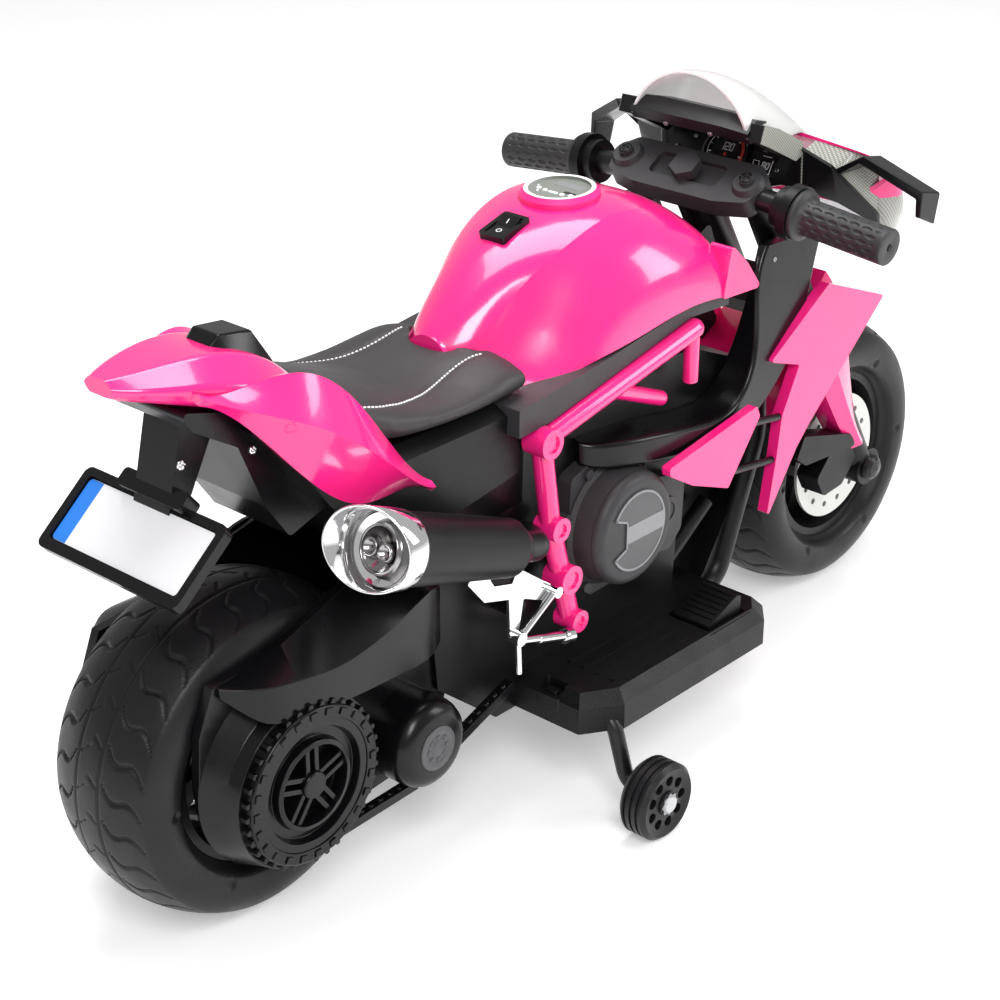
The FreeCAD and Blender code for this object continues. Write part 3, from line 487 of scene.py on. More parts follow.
def dressed_tyre(end, x):
    profile = BEAD + arc_points(*flipped(WALL), WALL_STEPS)
    crown_from = len(profile)
    profile += arc_points(*CROWN, CROWN_STEPS)
    crown = slice(crown_from, len(profile))
    profile += arc_points(*reversed(WALL), WALL_STEPS) + flipped(reversed(BEAD)) + LINER
    radius, y = (np.array(column, float)[None, :] for column in zip(*profile))
    theta = np.linspace(0, 2 * np.pi, TYRE_STEPS, endpoint=False)[:, None]
    r = np.repeat(radius, TYRE_STEPS, 0)
    r[:, crown] -= tread_depth(theta, y[:, crown])
    across = np.repeat(y, TYRE_STEPS, 0)
    pocket_turn = (theta + math.pi / POCKETS) % (2 * math.pi / POCKETS) - math.pi / POCKETS
    reach = np.hypot(radius - POCKET_R, POCKET_R * pocket_turn)
    pocket = POCKET_DEPTH * smoothstep(POCKET_EASE - reach / POCKET_SIZE)
    across -= np.sign(across) * np.where(np.abs(y) > OUTER_WALL, pocket, 0)
    verts = np.stack([x + r * np.cos(theta), across, WHEEL_R + r * np.sin(theta)], -1).reshape(-1, 3)
    made = piece(end + "_tyre_dressed", verts.tolist(), ring_faces(TYRE_STEPS, len(profile)), tyre_look,
                 end + "_wheel")
    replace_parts(made, end + "_tyre")


for end, x in (("front", WHEEL_X), ("rear", -WHEEL_X)):
    dressed_tyre(end, x)


# Small solids on working planes
class Plane:
    """A working plane in millimetres: right, up and out from an origin."""

    def __init__(self, origin, right, up):
        self.origin = np.array(origin, float)
        self.right = np.array(right, float) / np.linalg.norm(right)
        level = np.array(up, float) - self.right * np.dot(up, self.right)
        self.up = level / np.linalg.norm(level)
        self.out = np.cross(self.right, self.up)

    def at(self, u, v, n=0.0):
        return tuple(self.origin + self.right * u + self.up * v + self.out * n)

    @classmethod
    def facing(cls, origin, out):
        """A plane with a given outward normal and its up as near +Z as it goes."""
        out = np.array(out, float)
        right = np.cross((0, 0, 1), out) if abs(out[2]) < 0.99 * np.linalg.norm(out) else (0, -1, 0)
        return cls(origin, right, np.cross(out, right))


def side_plane(x, z):
    """A plane along the bike's middle, with the right-hand side as its outside."""
    return Plane((x, 0, z), (1, 0, 0), (0, 0, 1))


SIDE = side_plane(0, 0)
PLAN = Plane((0, 0, 0), (1, 0, 0), (0, 1, 0))

# Screw heads: the cross in shares of the radius, its depth and the dome in shares of the height
HEAD_RINGS, HEAD_AROUND = 9, 40
HEAD_CENTRE = 0.4
HEAD_DOME, HEAD_FOOT = 0.55, -0.8
CROSS_LONG, CROSS_WIDE, CROSS_DEPTH = 0.62, 0.15, 0.75
CROSS_EDGE, CROSS_EASE = 1.35, 0.6

# Figures of seven bars, with their sizes in shares of the height
BARS = {"a": (0, 1, 1, 1), "b": (1, 0.5, 1, 1), "c": (1, 0, 1, 0.5), "d": (0, 0, 1, 0),
        "e": (0, 0, 0, 0.5), "f": (0, 0.5, 0, 1), "g": (0, 0.5, 1, 0.5)}
FIGURES = {"0": "abcdef", "1": "bc", "2": "abged", "8": "abcdefg"}
FIGURE_WIDTH, FIGURE_PEN, FIGURE_GAP, FIGURE_SLANT = 0.5, 0.085, 0.3, 0.15


class Mould:
    """Closed little solids gathered into one mesh."""

    def __init__(self):
        self.verts = []
        self.faces = []

    def loft(self, rows):
        """A solid through rings of equal count, capped at both ends."""
        start = len(self.verts)
        count = len(rows[0])
        for row in rows:
            self.verts += [tuple(p) for p in row]
        for j in range(len(rows) - 1):
            low, high = start + j * count, start + (j + 1) * count
            for i in range(count):
                k = (i + 1) % count
                self.faces.append((low + i, low + k, high + k, high + i))
        last = start + (len(rows) - 1) * count
        self.faces.append(tuple(start + i for i in reversed(range(count))))
        self.faces.append(tuple(last + i for i in range(count)))

    def prism(self, plane, outline, low, high):
        self.loft([[plane.at(u, v, level) for u, v in outline] for level in (low, high)])

    def lathe(self, plane, profile, around, centre=(0.0, 0.0)):
        """Profile of (radius, height) from the foot upwards, capped at both ends."""
        self.loft([[plane.at(centre[0] + u, centre[1] + v, height) for u, v in circle(radius, around)]
                   for radius, height in profile])

    def band(self, plane, inner, outer, start_deg, end_deg, low, high, steps):
        """A flat arc between two radii."""
        turns = np.radians(np.linspace(start_deg, end_deg, steps + 1))
        for a, b in zip(turns[:-1], turns[1:]):
            corners = ((inner, a), (outer, a), (outer, b), (inner, b))
            self.prism(plane, [polar(radius, turn) for radius, turn in corners], low, high)

    def ring_of(self, count, plane, corners, low, high):
        """Prisms round the plane's origin, with corners as (radius, degrees)."""
        for i in range(count):
            self.prism(plane, [on_circle(r, 360 / count * i + turn) for r, turn in corners], low, high)

    def cross_head(self, plane, radius, height):
        """A domed screw head with a cross recess."""
        def arm(a, b):
            return max(abs(a) / CROSS_LONG, abs(b) / CROSS_WIDE)
        rows = [[plane.at(*spot, HEAD_FOOT) for spot in circle(radius, HEAD_AROUND)]]
        for j in reversed(range(HEAD_RINGS + 1)):
            r = radius * (j + HEAD_CENTRE) / (HEAD_RINGS + HEAD_CENTRE)
            dome = height * (1 - HEAD_DOME * (r / radius) ** 2)
            ring = []
            for u, v in circle(r, HEAD_AROUND):
                inside = (CROSS_EDGE - min(arm(u, v), arm(v, u)) / radius) / CROSS_EASE
                ring.append(plane.at(u, v, dome - CROSS_DEPTH * height * float(smoothstep(inside))))
            rows.append(ring)
        self.loft(rows)

    def figures(self, plane, text, centre, height, low, high):
        """Plain slanted figures made of seven bars each."""
        width, pen = FIGURE_WIDTH * height, FIGURE_PEN * height
        step = width + FIGURE_GAP * height
        for place, figure in enumerate(text):
            left = centre[0] + (place - (len(text) - 1) / 2) * step - width / 2
            for bar in FIGURES[figure]:
                x0, y0, x1, y1 = BARS[bar]
                corners = plain_box(x0 * width - pen, y0 * height - pen, x1 * width + pen, y1 * height + pen)
                self.prism(plane, [(left + x + FIGURE_SLANT * (y - height / 2), centre[1] + y - height / 2)
                                   for x, y in corners], low, high)

    def mirrored(self):
        """The same solids on both sides of the centre plane."""
        start = len(self.verts)
        self.faces += [tuple(start + i for i in reversed(face)) for face in self.faces]
        self.verts += [(x, -y, z) for x, y, z in self.verts]
        return self

    def make(self, name, look, slot, shade=False, body="chassis"):
        return piece(name, self.verts, self.faces, look, body, shade)

    def moulding(self, name, look, slot, soft):
        """A piece with outward faces and moulded edges."""
        made = self.make(name, look, slot, True)
        work = bmesh.new()
        work.from_mesh(made.data)
        bmesh.ops.recalc_face_normals(work, faces=work.faces)
        work.to_mesh(made.data)
        work.free()
        soften(made, soft)
        return made


CORNER_STEPS = 5


def plain_box(u0, v0, u1, v1):
    return [(u0, v0), (u1, v0), (u1, v1), (u0, v1)]


def rounded_box(u0, v0, u1, v1, radius):
    """Outline of a rectangle with round corners, anticlockwise."""
    spots = []
    for cu, cv, start in ((u1 - radius, v1 - radius, 0), (u0 + radius, v1 - radius, 90),
                          (u0 + radius, v0 + radius, 180), (u1 - radius, v0 + radius, 270)):
        for i in range(CORNER_STEPS + 1):
            u, v = on_circle(radius, start + 90 * i / CORNER_STEPS)
            spots.append((cu + u, cv + v))
    return spots


def radial_bar(degrees, inner, outer, half, offset=0.0):
    """Corners of a bar that points outwards at an angle."""
    out = np.array(on_circle(1, degrees))
    beside = np.array((-out[1], out[0]))
    return [tuple(out * r + beside * (offset + w)) for r, w in plain_box(inner, -half, outer, half)]


# Seat cushion, swelled by cloth under pressure between its sewn seams
SEAM = [(-134.0, 45.0), (-200.0, 49.0), (-268.0, 63.0), (-312.0, 56.0)]
SEAM_CURVE = np.polyfit(*zip(*SEAM), 3)
SEAM_REACH, SEAM_PULL = 7.0, 0.0012
CREASE_REACH, CREASE = 4.5, 1.3 * MM
TOP_FACE, FOOT_FACE = 0.4, -0.25
HELD_FROM = 0.6
SEAT_VOXEL = 0.005
SEAT_SHRINK = 0.0022
SEAT_CAP = 0.006
SWELL_FRAMES = 20
STITCH_STEP, STITCH_HALF, STITCH_MARGIN = 3.9, 1.35, 2.0
SEAM_FINE = 0.5
ABOVE_SEAT = 500
THREAD = [(-1.0, -0.7, 0.5), (-0.85, 0.0, 0.9), (-0.4, 0.35, 1.0), (0.4, 0.35, 1.0), (0.85, 0.0, 0.9),
          (1.0, -0.7, 0.5)]
THREAD_R, THREAD_AROUND = 0.85, 8


def seam_gap(x, y):
    """Distance in plan from the nearer seam, in millimetres."""
    run = np.clip(x, SEAM[-1][0], SEAM[0][0])
    return np.hypot(x - run, np.abs(y) - np.polyval(SEAM_CURVE, run))


def baked(ob):
    """The object's mesh with its modifiers applied."""
    return bpy.data.meshes.new_from_object(ob.evaluated_get(bpy.context.evaluated_depsgraph_get()))


def rows_of(mesh, field):
    """The vertices' places ("co") or normals ("normal") in rows of three."""
    flat = np.empty(len(mesh.vertices) * 3)
    mesh.vertices.foreach_get(field, flat)
    return flat.reshape(-1, 3)


def drawn_in(spots, normals, width):
    """How near the cover's upper side is to a seam: 1 on it, 0 from a width away."""
    near = smoothstep(1 - seam_gap(spots[:, 0] / MM, spots[:, 1] / MM) / width)
    return near * (normals[:, 2] > TOP_FACE)


def move_to(mesh, spots):
    mesh.vertices.foreach_set("co", spots.ravel())
    mesh.update()


def swap_mesh(ob, mesh):
    old = ob.data
    ob.modifiers.clear()
    ob.data = mesh
    bpy.data.meshes.remove(old)


def padded_seat():
    seat = bpy.data.objects.new("seat_padded", nodes["seat_cushion"].data.copy())
    scene.collection.objects.link(seat)
    remesh = seat.modifiers.new("voxels", "REMESH")
    remesh.mode = "VOXEL"
    remesh.voxel_size = SEAT_VOXEL
    swap_mesh(seat, baked(seat))
    start = rows_of(seat.data, "co")
    out = rows_of(seat.data, "normal")
    sewn = drawn_in(start, out, SEAM_REACH)
    start = start - out * (SEAT_SHRINK + SEAM_PULL * sewn)[:, None]
    move_to(seat.data, start)
    held = seat.vertex_groups.new(name="held")
    for i in np.nonzero((out[:, 2] < FOOT_FACE) | (sewn > HELD_FROM))[0]:
        held.add([int(i)], 1.0, "REPLACE")
    swell = seat.modifiers.new("swell", "CLOTH")
    swell.settings.quality = 6
    swell.settings.mass = 0.3
    swell.settings.use_pressure = True
    swell.settings.uniform_pressure_force = 4.0
    swell.settings.effector_weights.gravity = 0.0
    swell.settings.vertex_group_mass = "held"
    for step in range(1, SWELL_FRAMES + 1):
        scene.frame_set(step)
    moved = rows_of(baked(seat), "co") - start
    scene.frame_set(1)
    seat.modifiers.clear()
    length = np.linalg.norm(moved, axis=1)
    moved *= np.minimum(1.0, SEAT_CAP / np.maximum(length, 1e-9))[:, None]
    move_to(seat.data, start + moved)
    seat.modifiers.new("even", "SMOOTH").iterations = 2
    finer = seat.modifiers.new("finer", "SUBSURF")
    finer.levels = finer.render_levels = 1
    swap_mesh(seat, baked(seat))
    seat.vertex_groups.clear()
    spots = rows_of(seat.data, "co")
    spots[:, 2] -= CREASE * drawn_in(spots, rows_of(seat.data, "normal"), CREASE_REACH)
    move_to(seat.data, spots)
    seat.data.materials.clear()
    seat.data.materials.append(leather.material)
    seat.data.polygons.foreach_set("use_smooth", [True] * len(seat.data.polygons))
    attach(seat, "chassis")
    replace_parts(seat, "seat_cushion")
    return seat


def thread_loop(rows, bed, half):
    """One stitch: a thread that rises out of the cover and dips back into it."""
    rings = []
    for along, lift, girth in THREAD:
        rings.append([bed.at(along * half, u, lift * THREAD_R + v)
                      for u, v in circle(THREAD_R * girth, THREAD_AROUND)])
    rows.loft(rings)


def stitches(seat):
    """A row of short threads along each seam, laid on the cushion."""
    surface = surface_of(seat)
    rows = Mould()
    fine = np.arange(SEAM[-1][0], SEAM[0][0], SEAM_FINE)
    for side in (-1, 1):
        line = np.stack([fine, side * np.polyval(SEAM_CURVE, fine)], -1)
        run = np.concatenate([[0], np.cumsum(np.linalg.norm(np.diff(line, axis=0), axis=1))])
        for along in np.arange(STITCH_MARGIN, run[-1] - STITCH_MARGIN, STITCH_STEP):
            ends = []
            for reach in (along - STITCH_HALF, along + STITCH_HALF):
                x, y = (float(np.interp(reach, run, line[:, k])) for k in (0, 1))
                ends.append(dropped(surface, x, y, ABOVE_SEAT))
            if any(hit[0] is None for hit in ends):
                continue
            a, b = (np.array(hit[0]) / MM for hit in ends)
            bed = Plane((a + b) / 2, b - a, np.cross(np.array(ends[0][1]), b - a))
            thread_loop(rows, bed, np.linalg.norm(b - a) / 2)
    rows.make("seat_stitches", thread, "plate_white", True)


stitches(padded_seat())

# Grips with moulded dashes
BAR_ROOT = np.array((193.0, -70.0, 464.0))
BAR_END = np.array((193.0, -212.0, 450.0))
FORWARD = np.array((1.0, 0.0, 0.0))
GRIP_R = 16.5
GRIP_AROUND = 192
GRIP_HEAD = [(-122.0, 11.3), (-122.0, 22.3), (-122.7, 23.0), (-126.3, 23.0), (-127.0, 22.3), (-127.4, 20.4),
             (-128.4, 18.9), (-130.0, 17.6), (-132.0, 16.8)]
GRIP_SLEEVE = [(y, GRIP_R) for y in np.linspace(-133.0, -208.0, 126)]
GRIP_TAIL = [(-209.5, 16.5), (-213.0, 16.5), (-213.7, 16.2), (-214.0, 15.5), (-214.0, 4.0), (-213.6, 3.5),
             (-209.0, 3.2), (-209.0, 0.4)]
MARK_ROWS, MARK_STEP = 16, 13.0
MARK_LONG, MARK_WIDE, MARK_DEPTH = 5.2, 1.7, 1.3
MARK_RIM, MARK_EASE = 0.35, 0.8
MARKS_FROM, MARKS_TO = -131, -209


def grip():
    """The right-hand grip: flange, flared neck, dashed sleeve and pierced end."""
    profile = GRIP_HEAD + GRIP_SLEEVE + GRIP_TAIL
    turn = np.linspace(0, 2 * np.pi, GRIP_AROUND, endpoint=False)[:, None]
    y = np.array([p[0] for p in profile])[None, :]
    r = np.repeat(np.array([p[1] for p in profile])[None, :], GRIP_AROUND, 0)
    pitch = 2 * np.pi / MARK_ROWS
    row = np.floor(turn / pitch)
    aside = ((turn / pitch) % 1 - 0.5) * pitch * GRIP_R
    along = ((y + 0.5 * MARK_STEP * (row % 2)) % MARK_STEP - MARK_STEP / 2)
    width = MARK_WIDE * np.clip(1 - (along / MARK_LONG) ** 2, 0, 1)
    sunk = MARK_DEPTH * smoothstep((width + MARK_RIM - np.abs(aside)) / MARK_EASE)
    fade = smoothstep((y - MARKS_TO) / 6) * smoothstep((MARKS_FROM - y) / 5)
    r -= np.where(width > 0.05, sunk, 0) * fade
    bar = BAR_END - BAR_ROOT
    share = (y - BAR_ROOT[1]) / bar[1]
    rise = np.cross(bar / np.linalg.norm(bar), FORWARD)
    spots = (BAR_ROOT + share[..., None] * bar + (r * np.cos(turn))[..., None] * FORWARD
             + (r * np.sin(turn))[..., None] * rise)
    across = len(profile)
    mould = Mould()
    mould.verts = [tuple(v) for v in spots.reshape(-1, 3)]
    mould.faces = ring_faces(GRIP_AROUND, across, closed=False)
    mould.faces.append(tuple(i * across for i in range(GRIP_AROUND)))
    mould.faces.append(tuple(i * across + across - 1 for i in reversed(range(GRIP_AROUND))))
    return mould


grips = grip().mirrored().make("grips_dashed", rubber, "grip_rubber", True, "steering")
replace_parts(grips, "grips")

# Dash, brow and cheeks, with the woven shoulders beside them, and a black liner under the nose skin as
# painted shade
# Sections as y, then (x, z) round the ring; at y 66 and 40 the top runs forward under the nose skin, a black
# sheet put in the recess as painted shade
DASH_WITH_SHADE_LINER = [(133, (298, 436), (299, 435), (302, 424), (306, 423), (304, 435), (300, 438)),
        (110, (254, 485), (256, 482), (270, 448), (274, 447), (261, 482), (256, 487)),
        (80, (249, 497), (252, 493), (254, 458), (258, 457), (257, 494), (251, 499)),
        (66, (208, 509), (258, 496), (243, 462), (247, 461), (263, 497), (209, 513)),
        (40, (208, 511), (262, 500), (236, 455), (240, 453), (267, 501), (208, 515))]
BROW = [(66, (191, 511), (186, 521), (199, 531), (214, 527), (214, 512)),
        (40, (187, 513), (182, 524), (197, 534), (214, 530), (214, 512))]
CHEEK = [(192, 530), (187, 515), (200, 509), (243, 487), (254, 491), (252, 503), (214, 523)]
CHEEK_IN, CHEEK_OUT = 65.0, 80.0
GAUGE = [(25, -4), (25, 5), (22, 5), (22, 3.5), (0.5, 3.5)]
FACE_RIGHT, FACE_UP = (0, -1, 0), (0.5, 0, 0.866)
SHOULDER_IN, SHOULDER_OUT, SHOULDER_STEPS = 79, 132, 32
SHOULDER_X, SHOULDER_SWEEP = 243.0, 72.0 / 170.0
SHOULDER_SINK, SHOULDER_THICK = 0.8, 2
ABOVE_NOSE = 600


def both_sides(rows):
    """Rings of (x, z) at stations along Y, on to the mirrored side."""
    stations = [(-y, ring) for y, *ring in rows] + [(y, ring) for y, *ring in reversed(rows)]
    return [[(x, y, z) for x, z in ring] for y, ring in stations]


dial = Plane(DIAL, FACE_RIGHT, FACE_UP)
dash = Mould()
dash.loft(both_sides(DASH_WITH_SHADE_LINER))
dash.loft(both_sides(BROW))
dash.prism(SIDE, CHEEK, CHEEK_IN, CHEEK_OUT)
dash.prism(SIDE, CHEEK, -CHEEK_OUT, -CHEEK_IN)
dash.lathe(dial, GAUGE, 64)
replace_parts(dash.moulding("dash_dressed", dash_look, "black_plastic", 0.8), "dash_panel")

nose_top = surface_of(nodes["nose_cowl"])
stations, crest = zip(*[(row[0], row[5]) for row in reversed(DASH_WITH_SHADE_LINER)])
shoulder_rows = []
for y in np.linspace(SHOULDER_IN, SHOULDER_OUT, SHOULDER_STEPS):
    x, z = (float(np.interp(y, stations, [spot[k] for spot in crest])) for k in (0, 1))
    reach = SHOULDER_X + SHOULDER_SWEEP * y
    hit = dropped(nose_top, reach, -y, ABOVE_NOSE)[0]
    rise = hit.z / MM - SHOULDER_SINK if hit else z
    shoulder_rows.append([(x, -y, z), (reach, -y, rise), (reach, -y, rise - SHOULDER_THICK),
                          (x, -y, z - SHOULDER_THICK)])
shoulders = Mould()
shoulders.loft(shoulder_rows)
shoulders.mirrored().moulding("dash_shoulders", weave_look, "gloss_black", 0.4)

# Winglets
WING = [[(262, -107, 473), (294, -107, 472), (294, -110, 481), (262, -110, 482)],
        [(258, -136, 493), (286, -137, 488), (287, -140, 495), (258, -140, 501)],
        [(280, -183, 465), (311, -183, 459), (312, -189, 465), (281, -189, 473)],
        [(280, -184, 449), (306, -184, 437), (306, -189, 437), (280, -189, 449)]]
wings = Mould()
wings.loft(WING)
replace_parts(wings.mirrored().moulding("winglets_dressed", smooth, "gloss_black", 1.2), "winglets")

# Tail bump, as x, half width and height of the top, half width and height of the foot
HUMP = [(-395, 12, 479, 27, 464), (-387, 14, 486, 29, 460), (-357, 16, 482, 30, 444),
        (-341, 19, 456, 30, 436), (-333, 20, 442, 29, 428)]
hump = Mould()
hump.loft([[(x, -a, top), (x, -b, foot), (x, b, foot), (x, a, top)] for x, a, top, b, foot in HUMP])
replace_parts(hump.moulding("tail_bump_dressed", smooth, "gloss_black", 1.6), "tail_bump")

# Slash-cut exhaust tip with two outlets; a tip ring without a level lies on the slash
CAN_END = (-335.3, -128.0, 330.7)
CAN_AXIS = (-127.0, 0.0, 46.0)
TIP_AROUND = 72
SLASH_AT, SLASH_U, SLASH_V = 19.0, -0.42, 0.17
TIP = [(30.2, -16.0), (30.9, -16.0), (31.4, -14.0), (33.4, None), (32.9, None, 0.8), (31.9, None, 0.8),
       (31.2, None), (30.2, 3.4), (29.6, 2.6)]
THROAT = [(30.4, 1.0), (30.4, 3.2), (27.0, 2.4), (25.0, 1.4), (20.5, 1.4), (19.6, 6.0), (18.6, 7.0),
          (17.4, 6.0), (16.8, 3.0), (0.5, 3.0)]
OUTLET = [(7.2, 2.0), (7.2, 7.6), (6.6, 8.2), (5.4, 8.2), (5.0, 3.6), (0.5, 3.5)]
OUTLET_AT = 7.9
pipe = Plane.facing(CAN_END, CAN_AXIS)


def tip_ring(radius, level, lift=0.0):
    """A ring about the can's axis, level or on the slash."""
    ring = []
    for u, v in circle(radius, TIP_AROUND):
        slash = SLASH_AT + SLASH_U * u + SLASH_V * v + lift
        ring.append(pipe.at(u, v, slash if level is None else level))
    return ring


tip = Mould()
tip.loft([tip_ring(*row) for row in TIP])
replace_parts(tip.make("exhaust_tip_dressed", chrome, "chrome_plate", True), "exhaust_tip")
# The throat and its two outlets take the dark metal, as painted shade inside the tip
throat = Mould()
throat.lathe(pipe, THROAT, TIP_AROUND)
for u in (-OUTLET_AT, OUTLET_AT):
    throat.lathe(pipe, OUTLET, 32, (u, 0.0))
throat.make("exhaust_throat", throat_shade_look, "chrome_plate", True)

# Swingarm covers: lofted arm, drum flare, cogged belt, spoked sprocket, chain run and motor dome
MOTOR = (-263.0, 119.0)
HUB = (-WHEEL_X, WHEEL_R)
ARM_PLATE = [(-459, 242), (-474, 205), (-477, 160), (-472, 125), (-460, 104), (-436, 79), (-417, 66),
             (-390, 64), (-330, 74), (-262, 80), (-222, 98), (-205, 140), (-215, 200), (-236, 250),
             (-290, 279), (-334, 270), (-378, 252), (-420, 245)]
ARM = [(-455, (70, 242), (73, 240), (74, 233)), (-428, (70, 244.5), (92, 237), (95, 208)),
       (-390, (70, 251), (99, 233), (99, 202)), (-350, (70, 264), (101, 231), (100, 197)),
       (-300, (70, 279), (100, 239), (99, 194)), (-255, (72, 270), (95, 250), (95, 191)),
       (-233, (74, 256), (88, 248), (88, 196))]
ARM_ROOT, ARM_STEPS = 66.0, 5
FLARE = [(-396, 148, 69, 83), (-393, 144, 77, 78.5), (*HUB, 84, 75), (*HUB, 95, 72), (*HUB, 95, 57),
         (*HUB, 80, 57)]
FLARE_AROUND = 72
BELT = [(66.5, 70), (66.5, 103), (65.5, 104), (56, 104), (56, 88)]
COGS, COG = 36, [(66, -2.8), (70.5, -1.5), (70.5, 1.5), (66, 2.8)]
LINKS, LINK = 24, [(58.5, -3.2), (64.5, -3.2), (64.5, 3.2), (58.5, 3.2)]
SPROCKET = [(58, 70), (58, 101), (56, 103), (49, 103), (47, 96), (39, 96), (38, 103), (34, 104), (33, 100),
            (33, 91), (0.5, 91)]
BOSS = [(11.5, 90), (11.5, 103), (10.5, 104), (0.5, 104.2)]
SPOKES, SPOKE_TURN = 5, 18
SPOKE_IN, SPOKE_OUT, SPOKE_HALF, SPOKE_APART = 8, 34, 2.2, 4.6
CHAIN_RUN = [(-402, 74), (-268, 79), (-150, 122)]
CHAIN_IN, CHAIN_OUT, CHAIN_HALF = 85, 95, 4
CHAIN_STEP, CHAIN_LEAD = 11.0, 6
ROLLER = [(2.4, -6.2), (3.2, -5.2), (3.2, 5.2), (2.4, 6.2)]
DOME = [(39, 61), (39, 96), (38.2, 101.5), (36, 106.5), (32, 110), (27, 112), (0.5, 112.4)]
CAP = [(19.5, 111.5), (19.5, 113.0), (18.6, 113.5), (13.0, 113.5), (12.4, 112.9), (8.0, 112.9), (7.4, 113.5),
       (0.5, 113.7)]
CAP_STUDS, CAP_STUD_R = 8, 10.2
CAP_STUD = [(1.9, 112.7), (1.9, 113.3), (1.2, 113.6), (0.2, 113.6)]
hub = side_plane(*HUB)
motor = side_plane(*MOTOR)


def eased(rows, steps):
    """Rows with smooth ones between them, through the given rows."""
    rows = np.array(rows, float)
    made = []
    for i in range(len(rows) - 1):
        a, b, c, d = (rows[min(max(i + k, 0), len(rows) - 1)] for k in (-1, 0, 1, 2))
        for t in np.arange(steps) / steps:
            made.append(0.5 * (2 * b + (c - a) * t + (2 * a - 5 * b + 4 * c - d) * t ** 2
                               + (3 * b - a - 3 * c + d) * t ** 3))
    return made + [rows[-1]]


def chain(cover):
    for a, b in zip(np.array(CHAIN_RUN[:-1], float), np.array(CHAIN_RUN[1:], float)):
        length = np.linalg.norm(b - a)
        along = (b - a) / length
        up = np.array((-along[1], along[0]))
        edge = CHAIN_HALF * up
        cover.prism(SIDE, [tuple(p) for p in (a - edge, b - edge, b + edge, a + edge)], CHAIN_IN, CHAIN_OUT)
        for i in range(int(length // CHAIN_STEP)):
            spot = a + along * (CHAIN_LEAD + CHAIN_STEP * i)
            middle = SIDE.at(*spot, (CHAIN_IN + CHAIN_OUT) / 2)
            cover.lathe(Plane.facing(middle, (up[0], 0, up[1])), ROLLER, 12)


def swingarm_cover():
    cover = Mould()
    cover.prism(SIDE, ARM_PLATE, 61, 70)
    arm_rings = []
    for x, ridge, crease, hem in ARM:
        ring = [(x, -y, z) for y, z in (ridge, crease, hem)]
        arm_rings.append(ring + [(x, -ARM_ROOT, hem[1]), (x, -ARM_ROOT, ridge[1])])
    cover.loft(eased(arm_rings, ARM_STEPS))
    cover.loft([[(x + u, -y, z + v) for u, v in circle(radius, FLARE_AROUND)] for x, z, y, radius in FLARE])
    cover.lathe(hub, BELT, 96)
    cover.ring_of(COGS, hub, COG, 72, 102)
    cover.ring_of(LINKS, hub, LINK, 103, 105.4)
    cover.lathe(hub, SPROCKET, 96)
    cover.lathe(hub, BOSS, 40)
    for i in range(SPOKES):
        for offset in (-SPOKE_APART, SPOKE_APART):
            bar = radial_bar(360 / SPOKES * i + SPOKE_TURN, SPOKE_IN, SPOKE_OUT, SPOKE_HALF, offset)
            cover.prism(hub, bar, 90, 101)
    chain(cover)
    cover.lathe(motor, DOME, 72)
    return cover


covers = swingarm_cover().mirrored().moulding("swingarms_dressed", smooth, "gloss_black", 0.7)
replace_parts(covers, "swingarm_left", "swingarm_right")
cap = Mould()
cap.lathe(motor, CAP, 48)
for i in range(CAP_STUDS):
    cap.lathe(motor, CAP_STUD, 16, on_circle(CAP_STUD_R, 360 / CAP_STUDS * i))
cap.mirrored().make("motor_caps", grey, "badge_grey", True)

# Clips at the rear of the footboards and screw dimples in the tail panels
clip = Mould()
clip.prism(PLAN, rounded_box(-127.0, -124.3, -111.7, -99.7, 1.5), 96.5, 109.0)
clip.prism(PLAN, rounded_box(-123.0, -118.0, -115.0, -106.0, 2.0), 108.5, 112.0)
clip.mirrored().moulding("board_clips", grained, "black_plastic", 0.7)
DIMPLE_AT = (-384.6, -300, 432.4)
DIMPLE = [(5.0, -1.5), (5.0, 0.25), (4.2, 0.6), (3.3, 0.3), (2.8, -0.5), (0.3, -0.7)]
tail_skin = surface_of(nodes["tail_panel_right"])
spot, out, *_ = tail_skin.ray_cast(Vector(DIMPLE_AT) * MM, Vector((0, 1, 0)))
dimple = Mould()
dimple.lathe(Plane.facing(np.array(spot) / MM, out), DIMPLE, 36)
dimple.mirrored().make("tail_dimples", pink, "pink_plastic", True)

# Gauge: face, ticks, figures, coloured arc and a light-grey arc painted on the black bezel as its highlight
DIAL_FLOOR = 3.5
PRINT = (DIAL_FLOOR + 0.25, DIAL_FLOOR + 0.5)
SCALE_START, SCALE_END, TICK_STEP = -60, 240, 25
RED_END = 42
TICK_OUT = 19.2
LONG_TICK, SHORT_TICK = (15.4, 0.55), (17.2, 0.35)
face = Mould()
face.lathe(dial, [(21.6, DIAL_FLOOR - 0.4), (21.8, DIAL_FLOOR + 0.1), (21.4, DIAL_FLOOR + 0.3),
                  (12.0, DIAL_FLOOR + 0.32), (1.0, DIAL_FLOOR + 0.34)], 64)
face.make("gauge_face", glass_black, "gloss_black", True)
marks = Mould()
for deg in range(SCALE_START, SCALE_END + 1, TICK_STEP):
    inner, half = LONG_TICK if (deg - SCALE_START) % (2 * TICK_STEP) == 0 else SHORT_TICK
    marks.prism(dial, radial_bar(deg, inner, TICK_OUT, half), *PRINT)
marks.band(dial, TICK_OUT, 19.9, RED_END, SCALE_END, *PRINT, steps=48)
marks.figures(dial, "120", (0.5, 4.5), 6.4, *PRINT)
marks.prism(dial, rounded_box(-7, -10.4, 7, -9.4, 0.4), *PRINT)
marks.make("gauge_marks", white, "plate_white")
arc = Mould()
arc.band(dial, 17.2, 20.4, SCALE_START, RED_END, *PRINT, steps=30)
arc.prism(dial, rounded_box(-1.2, -4.6, 1.8, -1.2, 0.6), *PRINT)
arc.make("gauge_arc", red, "pink_plastic")
